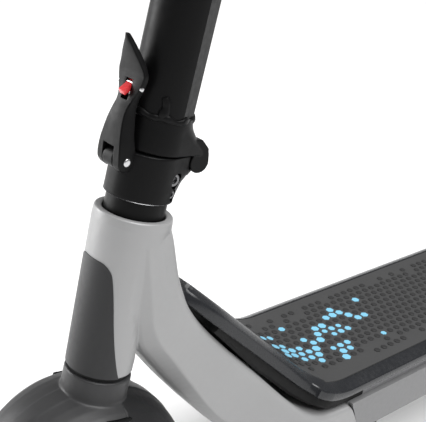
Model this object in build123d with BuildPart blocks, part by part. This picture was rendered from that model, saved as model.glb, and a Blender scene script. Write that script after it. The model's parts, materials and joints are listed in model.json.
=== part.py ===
from build123d import *
import os
from math import cos, hypot, radians, sin, tan

os.makedirs("parts", exist_ok=True)

# An electric kick scooter standing on its kickstand. X is forward, Y is to the rider's
# left, Z is up from the ground. The steering axis leans back by the rake, and the places
# of everything near it are given as (e, s): e forward from the axis, square to it, and s
# up along it from the seam between the headset collar and the folding joint.

# ---- overall sizes ----
rake = 11.15
seam_height = 410.0
wheel_radius = 108.0
wheelbase = 880.0
deck_drop = 239.0            # from the seam down to the top of the deck
chassis_depth = 74.0         # from the top of the deck down to its underside
deck_width = 172.8
mat_border = 13.9            # width of the cover's bevel round the mat
deck_front = -205.0          # where the deck's straight sides end, from the seam
deck_to_axle = 130.48        # from the rear axle forward to the deck's rear end
chassis_front = -240.0

# ---- wheels ----
tyre_width = 50.0
tread_flat = 26.0
rim_radius = 72.0
rim_width = 38.0
hub_radius = 58.0
hub_width = 56.0
axle_radius = 6.0
axle_reach = 58.0            # from the middle of the wheel to the axle's end
bearing_radius = 14.0
bearing_width = 9.0
stator_radius = 46.0
stator_width = 30.0
disc_radius = 55.0
disc_thickness = 2.0
disc_offset = 33.0

# ---- fenders ----
fender_gap = 9.5
fender_thickness = 3.5
front_fender_half = 51.0
rear_fender_half = 35.0
fender_skirt = 12.0

# ---- steering column ----
steerer_radius = 14.3
steerer_bore = 11.5
run_gap = 0.05               # radial clearance of a shaft that turns in its hole
part_gap = 0.3               # between surfaces of different bodies
bearing_outer = 22.0
bearing_height = 8.0
head_top = -15.0
head_bottom = -165.4
head_top_radius = 35.5
head_bottom_radius = 30.6
head_bore = 18.0
collar_radius = 27.0
collar_bottom = -24.0
rim_bore = 28.0
crown_radius = 31.0
crown_gap = 4.0
crown_height = 22.0
bridge_depth = 6.0
leg_gap = 38.0               # from the middle plane to a fork leg's inner face
leg_thickness = 9.0
leg_width = 30.0

# ---- folding joint ----
clamp_height = 42.0
clamp_radius = 30.0
hinge_e = -42.0
hinge_s = 36.0
knuckle_radius = 10.0
knuckle_half = 12.0          # half length of the middle knuckle
knuckle_reach = 21.0         # outer end of the outer knuckles
hinge_pin_radius = 4.0
lug_e = 32.0
lug_s = 33.0
lug_radius = 9.0
lug_half = 7.0
lever_half = 13.6
lever_pin_radius = 3.0
catch_half = 4.0
catch_e = 33.0
catch_s = 96.0
catch_pin_radius = 1.5
clamp_cheek = 18.6           # half width of the flats that carry the clamp bolts
bolt_radius = 3.0
bolt_head_radius = 6.2

# ---- stem and handlebar ----
stem_offset = -4.2           # the stem stands this far behind the steering axis
stem_radius = 28.0
stem_wall = 3.0
stem_bottom = 62.0
stem_top = 735.0
stem_flat_turn = 117.5       # direction of the two long flats, from straight ahead
block_top = 72.0
bar_s = 762.0
bar_radius = 15.9
bar_wall = 2.4
bar_half = 225.0
grip_length = 118.0
grip_radius = 18.6
ring_width = 14.0
ring_radius = 19.0

# ---- deck ----
cover_depth = 17.0
bevel_depth = 6.0
mat_thickness = 2.0
curl_start = -240.0          # the deck's front starts to curl up here
curl_radius = 80.0
curl_slope = 44.4
tongue_tip = -72.0           # front end of the upturned tongue
tongue_mat_half = 26.5
tongue_border = 10.0
chassis_half = 80.0
wall = 3.0
trim_drop = 27.0             # from the deck's top to the side trims' upper edge
trim_depth = 44.0
battery_size = (285.0, 128.0, 36.0)
controller_size = (95.0, 100.0, 30.0)

# ---- worked out from the above ----
ce, se = cos(radians(rake)), sin(radians(rake))
deck_half = deck_width / 2
fender_radius = wheel_radius + fender_gap + fender_thickness
axle_drop = seam_height - wheel_radius
front_axle_x = axle_drop * tan(radians(rake))
rear_axle_x = front_axle_x - wheelbase
deck_rear = rear_axle_x + deck_to_axle
clamp_bolt_e = -(steerer_radius + bolt_radius + part_gap)
deck_z = seam_height - deck_drop
under_z = deck_z - chassis_depth
cover_under_z = deck_z - cover_depth

front_fender_span = (22.0, 155.0)    # degrees up from straight ahead of the axle
rear_fender_span = (16.0, 158.0)

# The origin lies under the middle of the whole length, from fender edge to fender edge.
front_end = front_axle_x + fender_radius * cos(radians(front_fender_span[0]))
rear_end = rear_axle_x + fender_radius * cos(radians(rear_fender_span[1]))
seam_x = -(front_end + rear_end) / 2

E = Vector(ce, 0, se)                # forward, square to the steering axis
A = Vector(-se, 0, ce)               # up along the steering axis
SEAM = Vector(seam_x, 0, seam_height)


def at(e, s, y=0.0):
    """The point e forward of the steering axis and s up along it."""
    return SEAM + E * e + A * s + Vector(0, y, 0)


def across(s, e=0.0):
    """The plane square to the steering axis at s, with its x forward and y to the left."""
    return Plane(origin=at(e, s), x_dir=E, z_dir=A)


def beside(y=0.0):
    """The plane of the steering axis for profiles in (e, s), moved to y."""
    return Plane(origin=at(0, 0, y), x_dir=E, z_dir=(0, -1, 0))


def side_view(y=0.0):
    """The upright plane for profiles in x and z from the seam, moved to y."""
    return Plane(origin=SEAM + Vector(0, y, 0), x_dir=(1, 0, 0), z_dir=(0, -1, 0))


def pivot(e, s, y):
    """The plane square to a cross axis at (e, s), facing left."""
    return Plane(origin=at(e, s, y), x_dir=(1, 0, 0), z_dir=(0, 1, 0))


def wheel_plane(x, y=0.0):
    """The plane square to a wheel's axle, facing left."""
    return Plane(origin=(seam_x + x, y, wheel_radius), x_dir=(1, 0, 0), z_dir=(0, 1, 0))


def ring(outer, inner):
    """A flat ring sketch."""
    Circle(outer)
    if inner > 0:
        Circle(inner, mode=Mode.SUBTRACT)


def save(name, part):
    part.label = name
    export_step(part, f"parts/{name}.step")


# ================= frame: head tube and neck casting =================

# Each neck section is (top x, top z, bottom x, bottom z, half width, half width below).
neck_sections = [
    (-30.0, -30.0, 12.0, -118.0, 29.0, 24.0),
    (-36.0, -94.0, 0.0, -143.0, 29.5, 19.0),
    (-66.6, -143.0, -27.0, -188.0, 32.0, 18.0),
    (-100.0, -180.0, -62.0, -232.0, 40.0, 22.0),
    (-146.0, -225.0, -103.0, -281.0, 60.0, 36.0),
    (-180.0, -250.0, -142.0, -306.0, 76.0, 56.0),
    (-212.0, -261.0, -190.0, -deck_drop - chassis_depth, 84.5, 70.0),
    (chassis_front, -deck_drop - cover_depth - 6.0, chassis_front,
     -deck_drop - chassis_depth, deck_half, 76.0),
]


def neck_loft(sections, inset):
    """The neck lofted through its sections, each drawn smaller all round by inset."""
    with BuildPart() as neck:
        for top_x, top_z, low_x, low_z, half, low_half in sections:
            height = hypot(top_x - low_x, top_z - low_z) - 2 * inset
            up = Vector(top_x - low_x, 0, top_z - low_z).normalized()
            middle = SEAM + Vector((top_x + low_x) / 2, 0, (top_z + low_z) / 2)
            plane = Plane(origin=middle, x_dir=(0, 1, 0), z_dir=(up.Z, 0, -up.X))
            a, b, h = half - inset, low_half - inset, height / 2
            bevel = 0.12 * height
            with BuildSketch(plane):
                with BuildLine():
                    Polyline((-a + bevel, h), (a - bevel, h), (a, h - bevel),
                             (a - 1.5, -h * 0.35), (b, -h), (-b, -h), (-a + 1.5, -h * 0.35),
                             (-a, h - bevel), close=True)
                make_face()
        loft()
    return neck.part


with BuildPart() as frame_casting:
    with BuildSketch(beside()):
        with BuildLine():
            Polyline((0, head_bottom), (head_bottom_radius - 1.5, head_bottom),
                     (head_bottom_radius, head_bottom + 1.5), (head_top_radius, head_top - 12),
                     (head_top_radius, head_top - 4), (head_top_radius - 3, head_top),
                     (0, head_top), close=True)
        make_face()
    revolve(axis=Axis(at(0, 0), A))
    add(neck_loft(neck_sections, 0.0))
    add(neck_loft(neck_sections[2:], 6.0), mode=Mode.SUBTRACT)
    with BuildSketch(across(head_bottom - 5)):
        Circle(head_bore)
    extrude(amount=head_top - head_bottom + 10, mode=Mode.SUBTRACT)
    with BuildSketch(across(collar_bottom - 1)):
        Circle(rim_bore)
    extrude(amount=20, mode=Mode.SUBTRACT)
    with BuildSketch(across(collar_bottom - 1 - bearing_height)):
        Circle(bearing_outer)
    extrude(amount=bearing_height, mode=Mode.SUBTRACT)
    with BuildSketch(across(head_bottom)):
        Circle(bearing_outer)
    extrude(amount=bearing_height + 8, mode=Mode.SUBTRACT)
save("frame_casting", frame_casting.part)

with BuildPart() as headset_bearings:
    for bearing_s in (collar_bottom - 1 - bearing_height, head_bottom + 8):
        with BuildSketch(across(bearing_s)):
            ring(bearing_outer, steerer_radius + run_gap)
        extrude(amount=bearing_height)
save("headset_bearings", headset_bearings.part)

badge_top = -60.0
badge_turn = 62.0


def head_radius(s):
    """The head tube's radius at s."""
    share = (s - head_bottom - 1.5) / (head_top - 12 - head_bottom - 1.5)
    return head_bottom_radius + share * (head_top_radius - head_bottom_radius)


with BuildPart() as head_badge:
    with BuildSketch(Plane(origin=at(0, 0), x_dir=E.rotate(Axis((0, 0, 0), A), -badge_turn),
                           z_dir=-E.rotate(Axis((0, 0, 0), A), 90 - badge_turn))):
        with BuildLine():
            Polyline((head_radius(badge_top), badge_top),
                     (head_radius(badge_top) + 0.8, badge_top),
                     (head_radius(head_bottom + 2) + 0.8, head_bottom + 2),
                     (head_radius(head_bottom + 2), head_bottom + 2), close=True)
        make_face()
    revolve(axis=Axis(at(0, 0), A), revolution_arc=2 * badge_turn)
save("head_badge", head_badge.part)

# ================= deck =================

rise_end_x = curl_start + curl_radius * sin(radians(curl_slope))
rise_end_z = -deck_drop + curl_radius * (1 - cos(radians(curl_slope)))


def curled_band(rear_x, top_offset, depth):
    """The side profile of a sheet that follows the deck and curls up at its front."""
    slope = radians(curl_slope)
    down = Vector(sin(slope), -cos(slope))
    run = (tongue_tip - rise_end_x) / cos(slope)
    rise_end = Vector(rise_end_x, rise_end_z)
    tip = rise_end + Vector(cos(slope), sin(slope)) * run
    half_turn = radians(curl_slope / 2)

    def bend(offset):
        """Start, middle and end of the curl at this depth below the deck's top."""
        radius = curl_radius + offset
        center = Vector(curl_start, -deck_drop + curl_radius)
        return (center + Vector(0, -radius),
                center + Vector(sin(half_turn), -cos(half_turn)) * radius,
                center + down * radius)

    upper = bend(top_offset)
    lower = bend(top_offset + depth)
    tip_top = tip + down * top_offset
    tip_low = tip + down * (top_offset + depth)
    with BuildSketch(side_view()) as band:
        with BuildLine():
            Line((rear_x, -deck_drop - top_offset), upper[0])
            ThreePointArc(*upper)
            Line(upper[2], tip_top)
            Line(tip_top, tip_low)
            Line(tip_low, lower[2])
            ThreePointArc(*reversed(lower))
            Line(lower[0], (rear_x, -deck_drop - top_offset - depth))
            Line((rear_x, -deck_drop - top_offset - depth), (rear_x, -deck_drop - top_offset))
        make_face()
    return band.sketch


def deck_outline(rear_x, half, tip_half, corner):
    """The deck's outline from above: straight sides, then a tongue that narrows forward."""
    front = deck_front
    with BuildSketch(Plane(origin=(seam_x, 0, 0))) as outline:
        with BuildLine():
            Line((rear_x, -half + corner), (rear_x, half - corner))
            Line((rear_x, half - corner), (rear_x + corner, half))
            Line((rear_x + corner, half), (front, half))
            Bezier((front, half), (front + 18, half - 4), (front + 12, tip_half + 24),
                   (front + 62, tip_half + 10), (tongue_tip + 2, tip_half))
            Line((tongue_tip + 2, tip_half), (tongue_tip + 2, -tip_half))
            Bezier((tongue_tip + 2, -tip_half), (front + 62, -tip_half - 10),
                   (front + 12, -tip_half - 24), (front + 18, -half + 4), (front, -half))
            Line((front, -half), (rear_x + corner, -half))
            Line((rear_x + corner, -half), (rear_x, -half + corner))
        make_face()
    return outline.sketch


def deck_sheet(rear_x, half, tip_half, corner, top_offset, depth):
    """A sheet of the deck: the outline from above and the curled profile in common."""
    with BuildPart() as sheet:
        extrude(curled_band(rear_x, top_offset, depth), amount=deck_width, both=True)
        extrude(deck_outline(rear_x, half, tip_half, corner), amount=seam_height,
                mode=Mode.INTERSECT)
    return sheet.part


mat_half = deck_half - mat_border
mat_rear = deck_rear + 26.0

with BuildPart() as deck_cover:
    add(deck_sheet(deck_rear, deck_half, tongue_mat_half + tongue_border, 24.0, bevel_depth,
                   cover_depth - bevel_depth))
    add(deck_sheet(mat_rear - 6, mat_half + 5, tongue_mat_half + 4, 20.0, mat_thickness,
                   bevel_depth - mat_thickness))
save("deck_cover", deck_cover.part)

with BuildPart() as deck_mat:
    add(deck_sheet(mat_rear, mat_half, tongue_mat_half, 18.0, 0.0, mat_thickness))
save("deck_mat", deck_mat.part)

# The bracket that carries the tongue on the neck's upper face.
with BuildPart() as tongue_bracket:
    with BuildSketch(side_view()):
        with BuildLine():
            Polyline((-62.0, -118.0), (-66.0, -126.0), (-176.0, -232.5), (-176.0, -246.0),
                     (-146.5, -225.2), (-100.0, -180.2), (-66.6, -143.2), (-49.0, -116.0),
                     close=True)
        make_face()
    extrude(amount=22.0, both=True)
    with BuildPart(mode=Mode.SUBTRACT):
        add(deck_cover.part)
        add(frame_casting.part)
save("tongue_bracket", tongue_bracket.part)

with BuildPart() as deck_chassis:
    with BuildSketch(Plane(origin=(seam_x + chassis_front, 0, 0), z_dir=(-1, 0, 0),
                           x_dir=(0, 1, 0))):
        with BuildLine():
            Polyline((-chassis_half, -under_z - wall), (-chassis_half, -cover_under_z),
                     (chassis_half, -cover_under_z), (chassis_half, -under_z - wall),
                     (chassis_half - wall, -under_z - wall),
                     (chassis_half - wall, -cover_under_z + wall),
                     (wall - chassis_half, -cover_under_z + wall),
                     (wall - chassis_half, -under_z - wall), close=True)
        make_face()
    extrude(amount=chassis_front - deck_rear)
save("deck_chassis", deck_chassis.part)

with BuildPart() as bottom_plate:
    with BuildSketch(Plane(origin=(seam_x, 0, under_z))):
        with Locations(((chassis_front + deck_rear) / 2, 0)):
            Rectangle(chassis_front - deck_rear, 2 * chassis_half)
    extrude(amount=wall)
    screw_spots = Locations(*[(seam_x + x, y, under_z)
                              for x in (-265, -370, -465, -560, -665)
                              for y in (-70, 70)])
    with screw_spots:
        Cylinder(2.2, 20, mode=Mode.SUBTRACT)
save("bottom_plate", bottom_plate.part)

with BuildPart() as bottom_screws:
    with screw_spots:
        Cylinder(2.2, wall, align=(Align.CENTER, Align.CENTER, Align.MIN))
        Cylinder(4.0, 1.6, align=(Align.CENTER, Align.CENTER, Align.MAX))
save("bottom_screws", bottom_screws.part)

with BuildPart() as side_trims:
    for side in (1, -1):
        with BuildSketch(side_view(side * chassis_half)):
            with BuildLine():
                Polyline((chassis_front - 0.5, -deck_drop - trim_drop),
                         (chassis_front - 18, -deck_drop - trim_drop - trim_depth + 4),
                         (chassis_front - 24, -deck_drop - trim_drop - trim_depth),
                         (deck_rear + 12, -deck_drop - trim_drop - trim_depth),
                         (deck_rear + 2, -deck_drop - trim_drop - trim_depth + 10),
                         (deck_rear + 2, -deck_drop - trim_drop), close=True)
            make_face()
        extrude(amount=-side * (deck_half - chassis_half))
save("side_trims", side_trims.part)

with BuildPart() as battery_pack:
    with Locations((seam_x - 420, 0, under_z + wall)):
        Box(*battery_size, align=(Align.CENTER, Align.CENTER, Align.MIN))
save("battery_pack", battery_pack.part)

with BuildPart() as motor_controller:
    with Locations((seam_x - 625, 0, under_z + wall)):
        Box(*controller_size, align=(Align.CENTER, Align.CENTER, Align.MIN))
save("motor_controller", motor_controller.part)

# ================= rear end =================

arm_inner = 40.0
arm_outer = 50.0
block_front = deck_rear
block_rear = deck_rear - 22.0

with BuildPart() as rear_casting:
    with BuildSketch(side_view()):
        with BuildLine():
            Polyline((block_front, -deck_drop - cover_depth), (block_front, -deck_drop - chassis_depth),
                     (block_rear - 6, -deck_drop - chassis_depth + 8),
                     (block_rear - 6, -deck_drop - cover_depth), close=True)
        make_face()
    extrude(amount=chassis_half, both=True)
    for side in (1, -1):
        with BuildSketch(side_view(side * arm_inner)):
            with BuildLine():
                Polyline((block_front, -deck_drop - 24), (block_front, -deck_drop - 68),
                         (rear_axle_x, -axle_drop - 17), (rear_axle_x - 16, -axle_drop - 8),
                         (rear_axle_x - 16, -axle_drop + 8), (rear_axle_x, -axle_drop + 17),
                         close=True)
            make_face()
        extrude(amount=-side * (arm_outer - arm_inner))
        with BuildSketch(wheel_plane(rear_axle_x)):
            Circle(axle_radius)
        extrude(amount=arm_outer + 1, both=True, mode=Mode.SUBTRACT)
    with BuildSketch(wheel_plane(rear_axle_x)):
        Circle(fender_radius)
    extrude(amount=arm_inner, both=True, mode=Mode.SUBTRACT)
save("rear_casting", rear_casting.part)


def fender(x, span, half):
    """A fender round the wheel at x, with side skirts, over this span of degrees."""
    outer = fender_radius
    inner = fender_radius - fender_thickness
    start = radians(span[0])
    along = Vector(cos(start), 0, sin(start))
    plane = Plane(origin=(seam_x + x, 0, wheel_radius), x_dir=along,
                  z_dir=along.cross(Vector(0, 1, 0)))
    with BuildPart() as shell:
        with BuildSketch(plane):
            with BuildLine():
                Polyline((inner - fender_skirt, -half), (outer - 7, -half), (outer, -half + 9),
                         (outer, half - 9), (outer - 7, half), (inner - fender_skirt, half),
                         (inner - fender_skirt, half - 3), (inner - 7, half - 3),
                         (inner, half - 10), (inner, 10 - half), (inner - 7, 3 - half),
                         (inner - fender_skirt, 3 - half), close=True)
            make_face()
        revolve(axis=Axis((seam_x + x, 0, wheel_radius), (0, -1, 0)),
                revolution_arc=span[1] - span[0])
    return shell.part


with BuildPart() as rear_fender:
    add(fender(rear_axle_x, rear_fender_span, rear_fender_half))
save("rear_fender", rear_fender.part)

lamp_turn = radians(145.0)
lamp_out = Vector(cos(lamp_turn), 0, sin(lamp_turn))
with BuildPart() as tail_lamp:
    with BuildSketch(Plane(origin=Vector(seam_x + rear_axle_x, 0, wheel_radius)
                           + lamp_out * (fender_radius - 0.4), x_dir=(0, 1, 0), z_dir=lamp_out)):
        RectangleRounded(44, 16, 5)
    extrude(amount=4.0)
    add(rear_fender.part, mode=Mode.SUBTRACT)
save("tail_lamp", tail_lamp.part)

caliper_y = -disc_offset
with BuildPart() as brake_caliper:
    with BuildSketch(wheel_plane(rear_axle_x, caliper_y - 15)):
        with Locations((34, 36)):
            RectangleRounded(36, 30, 5)
    extrude(amount=14 - disc_thickness / 2)
    with BuildSketch(wheel_plane(rear_axle_x, caliper_y + disc_thickness / 2 + 1)):
        with Locations((40, 44)):
            Rectangle(20, 14)
    extrude(amount=3)
    with BuildSketch(wheel_plane(rear_axle_x, caliper_y - 2)):
        with Locations((51, 53)):
            Rectangle(12, 6)
    extrude(amount=6)
save("brake_caliper", brake_caliper.part)


# ================= wheels =================

def revolve_round(x, points):
    """Turns a profile in (radius, y) round the axle at x."""
    with BuildPart() as turned:
        with BuildSketch(Plane(origin=(seam_x + x, 0, wheel_radius), x_dir=(0, 0, 1),
                               z_dir=(-1, 0, 0))):
            with BuildLine():
                Polyline(*points, close=True)
            make_face()
        revolve(axis=Axis((seam_x + x, 0, wheel_radius), (0, 1, 0)))
    return turned.part


half_tyre = tyre_width / 2
tyre_profile = [
    (rim_radius, -rim_width / 2), (wheel_radius - 24, -half_tyre), (wheel_radius - 13, -half_tyre),
    (wheel_radius - 4, -half_tyre + 6), (wheel_radius, -tread_flat / 2),
    (wheel_radius, tread_flat / 2), (wheel_radius - 4, half_tyre - 6),
    (wheel_radius - 13, half_tyre), (wheel_radius - 24, half_tyre), (rim_radius, rim_width / 2),
]

for wheel_name, wheel_x in (("front", front_axle_x), ("rear", rear_axle_x)):
    with BuildPart() as tyre:
        add(revolve_round(wheel_x, tyre_profile))
    save(f"{wheel_name}_tyre", tyre.part)

hub_half = hub_width / 2
shell_profile = [
    (bearing_radius, -hub_half), (hub_radius - 4, -hub_half), (hub_radius, -hub_half + 4),
    (hub_radius, -rim_width / 2), (rim_radius, -rim_width / 2), (rim_radius, rim_width / 2),
    (hub_radius, rim_width / 2), (hub_radius, hub_half - 4), (hub_radius - 4, hub_half),
    (bearing_radius, hub_half), (bearing_radius, hub_half - bearing_width),
    (stator_radius + 4, hub_half - bearing_width), (stator_radius + 4, bearing_width - hub_half),
    (bearing_radius, bearing_width - hub_half),
]
with BuildPart() as hub_motor_shell:
    add(revolve_round(front_axle_x, shell_profile))
save("hub_motor_shell", hub_motor_shell.part)

with BuildPart() as motor_stator:
    with BuildSketch(wheel_plane(front_axle_x)):
        ring(stator_radius, axle_radius)
    extrude(amount=stator_width / 2, both=True)
save("motor_stator", motor_stator.part)

rear_hub_half = 24.0
with BuildPart() as rear_rim:
    add(revolve_round(rear_axle_x, [
        (bearing_radius, -rear_hub_half), (24, -rear_hub_half), (24, -8), (rim_radius - 8, -8),
        (rim_radius - 8, -rim_width / 2), (rim_radius, -rim_width / 2),
        (rim_radius, rim_width / 2), (rim_radius - 8, rim_width / 2), (rim_radius - 8, 8),
        (24, 8), (24, rear_hub_half), (bearing_radius, rear_hub_half),
    ]))
    with BuildSketch(wheel_plane(rear_axle_x)):
        with PolarLocations(43, 6):
            Circle(12)
    extrude(amount=20, both=True, mode=Mode.SUBTRACT)
save("rear_rim", rear_rim.part)

for bearing_name, wheel_x, half in (("front_wheel_bearings", front_axle_x, hub_half),
                                    ("rear_wheel_bearings", rear_axle_x, rear_hub_half)):
    with BuildPart() as wheel_bearings:
        for side in (1, -1):
            with BuildSketch(wheel_plane(wheel_x, side * half)):
                ring(bearing_radius, axle_radius + run_gap)
            extrude(amount=-side * bearing_width)
    save(bearing_name, wheel_bearings.part)

with BuildPart() as brake_disc:
    with BuildSketch(wheel_plane(rear_axle_x, -disc_offset - disc_thickness / 2)):
        ring(disc_radius, 20)
        with PolarLocations(34, 8):
            Circle(7, mode=Mode.SUBTRACT)
        with PolarLocations(47.5, 24):
            Circle(2.5, mode=Mode.SUBTRACT)
    extrude(amount=disc_thickness)
    with BuildSketch(wheel_plane(rear_axle_x, -disc_offset + disc_thickness / 2)):
        ring(24, 20)
    extrude(amount=disc_offset - disc_thickness / 2 - rear_hub_half)
save("brake_disc", brake_disc.part)

for axle_name, wheel_x, reach in (("front_axle", front_axle_x, axle_reach),
                                  ("rear_axle", rear_axle_x, axle_reach + 3)):
    with BuildPart() as axle:
        with BuildSketch(wheel_plane(wheel_x)):
            Circle(axle_radius)
        extrude(amount=reach, both=True)
    save(axle_name, axle.part)

for nuts_name, wheel_x, seat in (("front_axle_nuts", front_axle_x, leg_gap + leg_thickness),
                                 ("rear_axle_nuts", rear_axle_x, arm_outer)):
    with BuildPart() as axle_nuts:
        for side in (1, -1):
            with BuildSketch(wheel_plane(wheel_x, side * seat)):
                RegularPolygon(10.5, 6)
                Circle(axle_radius, mode=Mode.SUBTRACT)
            extrude(amount=side * 8)
    save(nuts_name, axle_nuts.part)

# ================= fork and steerer =================

crown_top = head_bottom - crown_gap
crown_low = crown_top - crown_height
with BuildPart() as fork:
    with BuildSketch(across(crown_low)):
        Circle(crown_radius)
    extrude(amount=crown_height)
    fillet(fork.faces().sort_by(Axis(at(0, 0), A))[-1].edges(), 3)
    with BuildSketch(across(crown_low - bridge_depth)):
        Rectangle(leg_width, 2 * (leg_gap + leg_thickness))
    extrude(amount=bridge_depth)
    leg_profile = [
        (-leg_width / 2, crown_low), (leg_width / 2, crown_low),
        (leg_width / 2, crown_low - 20), (13, -axle_drop / ce + 8), (8, -axle_drop / ce - 13),
        (-8, -axle_drop / ce - 13), (-13, -axle_drop / ce + 8), (-leg_width / 2, crown_low - 20),
    ]
    for side in (1, -1):
        with BuildSketch(beside(side * leg_gap)):
            with BuildLine():
                Polyline(*leg_profile, close=True)
            make_face()
        extrude(amount=-side * leg_thickness)
    with BuildSketch(wheel_plane(front_axle_x)):
        Circle(axle_radius)
    extrude(amount=axle_reach, both=True, mode=Mode.SUBTRACT)
    with BuildSketch(across(crown_low)):
        Circle(steerer_radius)
    extrude(amount=crown_height + 1, mode=Mode.SUBTRACT)
save("fork", fork.part)

with BuildPart() as crown_seal:
    with BuildSketch(across(crown_top)):
        ring(crown_radius - 3, steerer_radius)
    extrude(amount=crown_gap - part_gap)
    with BuildSketch(across(head_bottom - part_gap)):
        ring(bearing_outer - 0.5, steerer_radius)
    extrude(amount=8 - 0.2)
save("crown_seal", crown_seal.part)

steerer_top = clamp_height - 4
with BuildPart() as steerer_tube:
    with BuildSketch(across(crown_low)):
        ring(steerer_radius, steerer_bore)
    extrude(amount=steerer_top - crown_low)
save("steerer_tube", steerer_tube.part)

with BuildPart() as front_fender:
    add(fender(front_axle_x, front_fender_span, front_fender_half))
    with BuildPart(mode=Mode.SUBTRACT):
        add(fork.part)
        add(steerer_tube.part)
save("front_fender", front_fender.part)

with BuildPart() as headset_collar:
    with BuildSketch(across(collar_bottom)):
        ring(collar_radius, steerer_radius)
    extrude(amount=-collar_bottom)
save("headset_collar", headset_collar.part)

# ================= folding joint =================

pocket_rear = lug_e - lug_radius - 2.5
cheek_gap = 0.5

with BuildPart() as lower_clamp:
    with BuildSketch(across(0)):
        Circle(collar_radius + 0.8)
    with BuildSketch(across(7)):
        Circle(clamp_radius)
    loft()
    with BuildSketch(across(7)):
        Circle(clamp_radius)
    extrude(amount=clamp_height - 7 - part_gap)
    with BuildSketch(beside()):
        with BuildLine():
            Polyline((-20, 12), (-clamp_radius - 0.5, 16), (-clamp_radius - 0.5, 25),
                     (hinge_e, hinge_s - 6), (hinge_e, hinge_s + 5.7), (-20, hinge_s + 5.7),
                     close=True)
        make_face()
    extrude(amount=knuckle_half, both=True)
    with BuildSketch(pivot(hinge_e, hinge_s, -knuckle_half)):
        Circle(knuckle_radius - 1)
    extrude(amount=2 * knuckle_half)
    with BuildSketch(across(0.5)):
        with Locations((clamp_bolt_e - 2, 0)):
            RectangleRounded(24, 2 * clamp_cheek, 6)
    extrude(amount=29)
    for side in (1, -1):
        with BuildSketch(across(-1)):
            with Locations((clamp_bolt_e - 6, side * (clamp_cheek + 10))):
                RectangleRounded(28, 20, 4)
        extrude(amount=29, mode=Mode.SUBTRACT)
    with BuildSketch(beside()):
        with BuildLine():
            Polyline((15, 12), (26, 14), (lug_e + 5, lug_s - 8.4), (lug_e, lug_s + lug_radius),
                     (15, clamp_height - part_gap), close=True)
        make_face()
    extrude(amount=lug_half, both=True)
    with BuildSketch(pivot(lug_e, lug_s, -lug_half)):
        Circle(lug_radius)
    extrude(amount=2 * lug_half)
    for side in (1, -1):
        with BuildSketch(beside(side * lug_half)):
            with Locations((pocket_rear + 20, lug_s + 4)):
                Rectangle(40, 2 * lug_radius + 12)
        extrude(amount=-side * (lever_half - lug_half + cheek_gap), mode=Mode.SUBTRACT)
        with BuildSketch(pivot(hinge_e, hinge_s, side * knuckle_half)):
            Circle(knuckle_radius + 1.2)
        extrude(amount=side * 20, mode=Mode.SUBTRACT)
    with BuildSketch(across(-1)):
        Circle(steerer_radius)
    extrude(amount=steerer_top + 1, mode=Mode.SUBTRACT)
    with BuildSketch(pivot(hinge_e, hinge_s, 0)):
        Circle(hinge_pin_radius)
    extrude(amount=knuckle_half + 1, both=True, mode=Mode.SUBTRACT)
    with BuildSketch(pivot(lug_e, lug_s, 0)):
        Circle(lever_pin_radius)
    extrude(amount=lug_half + 1, both=True, mode=Mode.SUBTRACT)
    for bolt_s, head, depth in ((20.0, bolt_head_radius, 14.0), (7.0, 4.6, 14.6)):
        with BuildSketch(pivot(clamp_bolt_e, bolt_s, 0)):
            Circle(bolt_radius)
        extrude(amount=26, both=True, mode=Mode.SUBTRACT)
        with BuildSketch(pivot(clamp_bolt_e, bolt_s, depth)):
            Circle(head + 0.4)
        extrude(amount=10, mode=Mode.SUBTRACT)
save("lower_clamp", lower_clamp.part)

with BuildPart() as clamp_bolts:
    for bolt_s, head, depth in ((20.0, bolt_head_radius, 14.0), (7.0, 4.6, 14.6)):
        with BuildSketch(pivot(clamp_bolt_e, bolt_s, -20)):
            Circle(bolt_radius)
        extrude(amount=20 + depth)
        with BuildSketch(pivot(clamp_bolt_e, bolt_s, depth)):
            Circle(head)
            RegularPolygon(head * 0.5, 6, mode=Mode.SUBTRACT)
        extrude(amount=4.5)
        with BuildSketch(pivot(clamp_bolt_e, bolt_s, depth)):
            Circle(head)
        extrude(amount=2)
save("clamp_bolts", clamp_bolts.part)

with BuildPart() as joint_pins:
    with BuildSketch(pivot(hinge_e, hinge_s, -knuckle_reach)):
        Circle(hinge_pin_radius)
    extrude(amount=2 * knuckle_reach)
    with BuildSketch(pivot(lug_e, lug_s, -lever_half - 1)):
        Circle(lever_pin_radius)
    extrude(amount=2 * lever_half + 2)
save("joint_pins", joint_pins.part)

block_front_e = 24.5
block_rear_e = hinge_e - 3.0
block_half = 30.0

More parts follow.
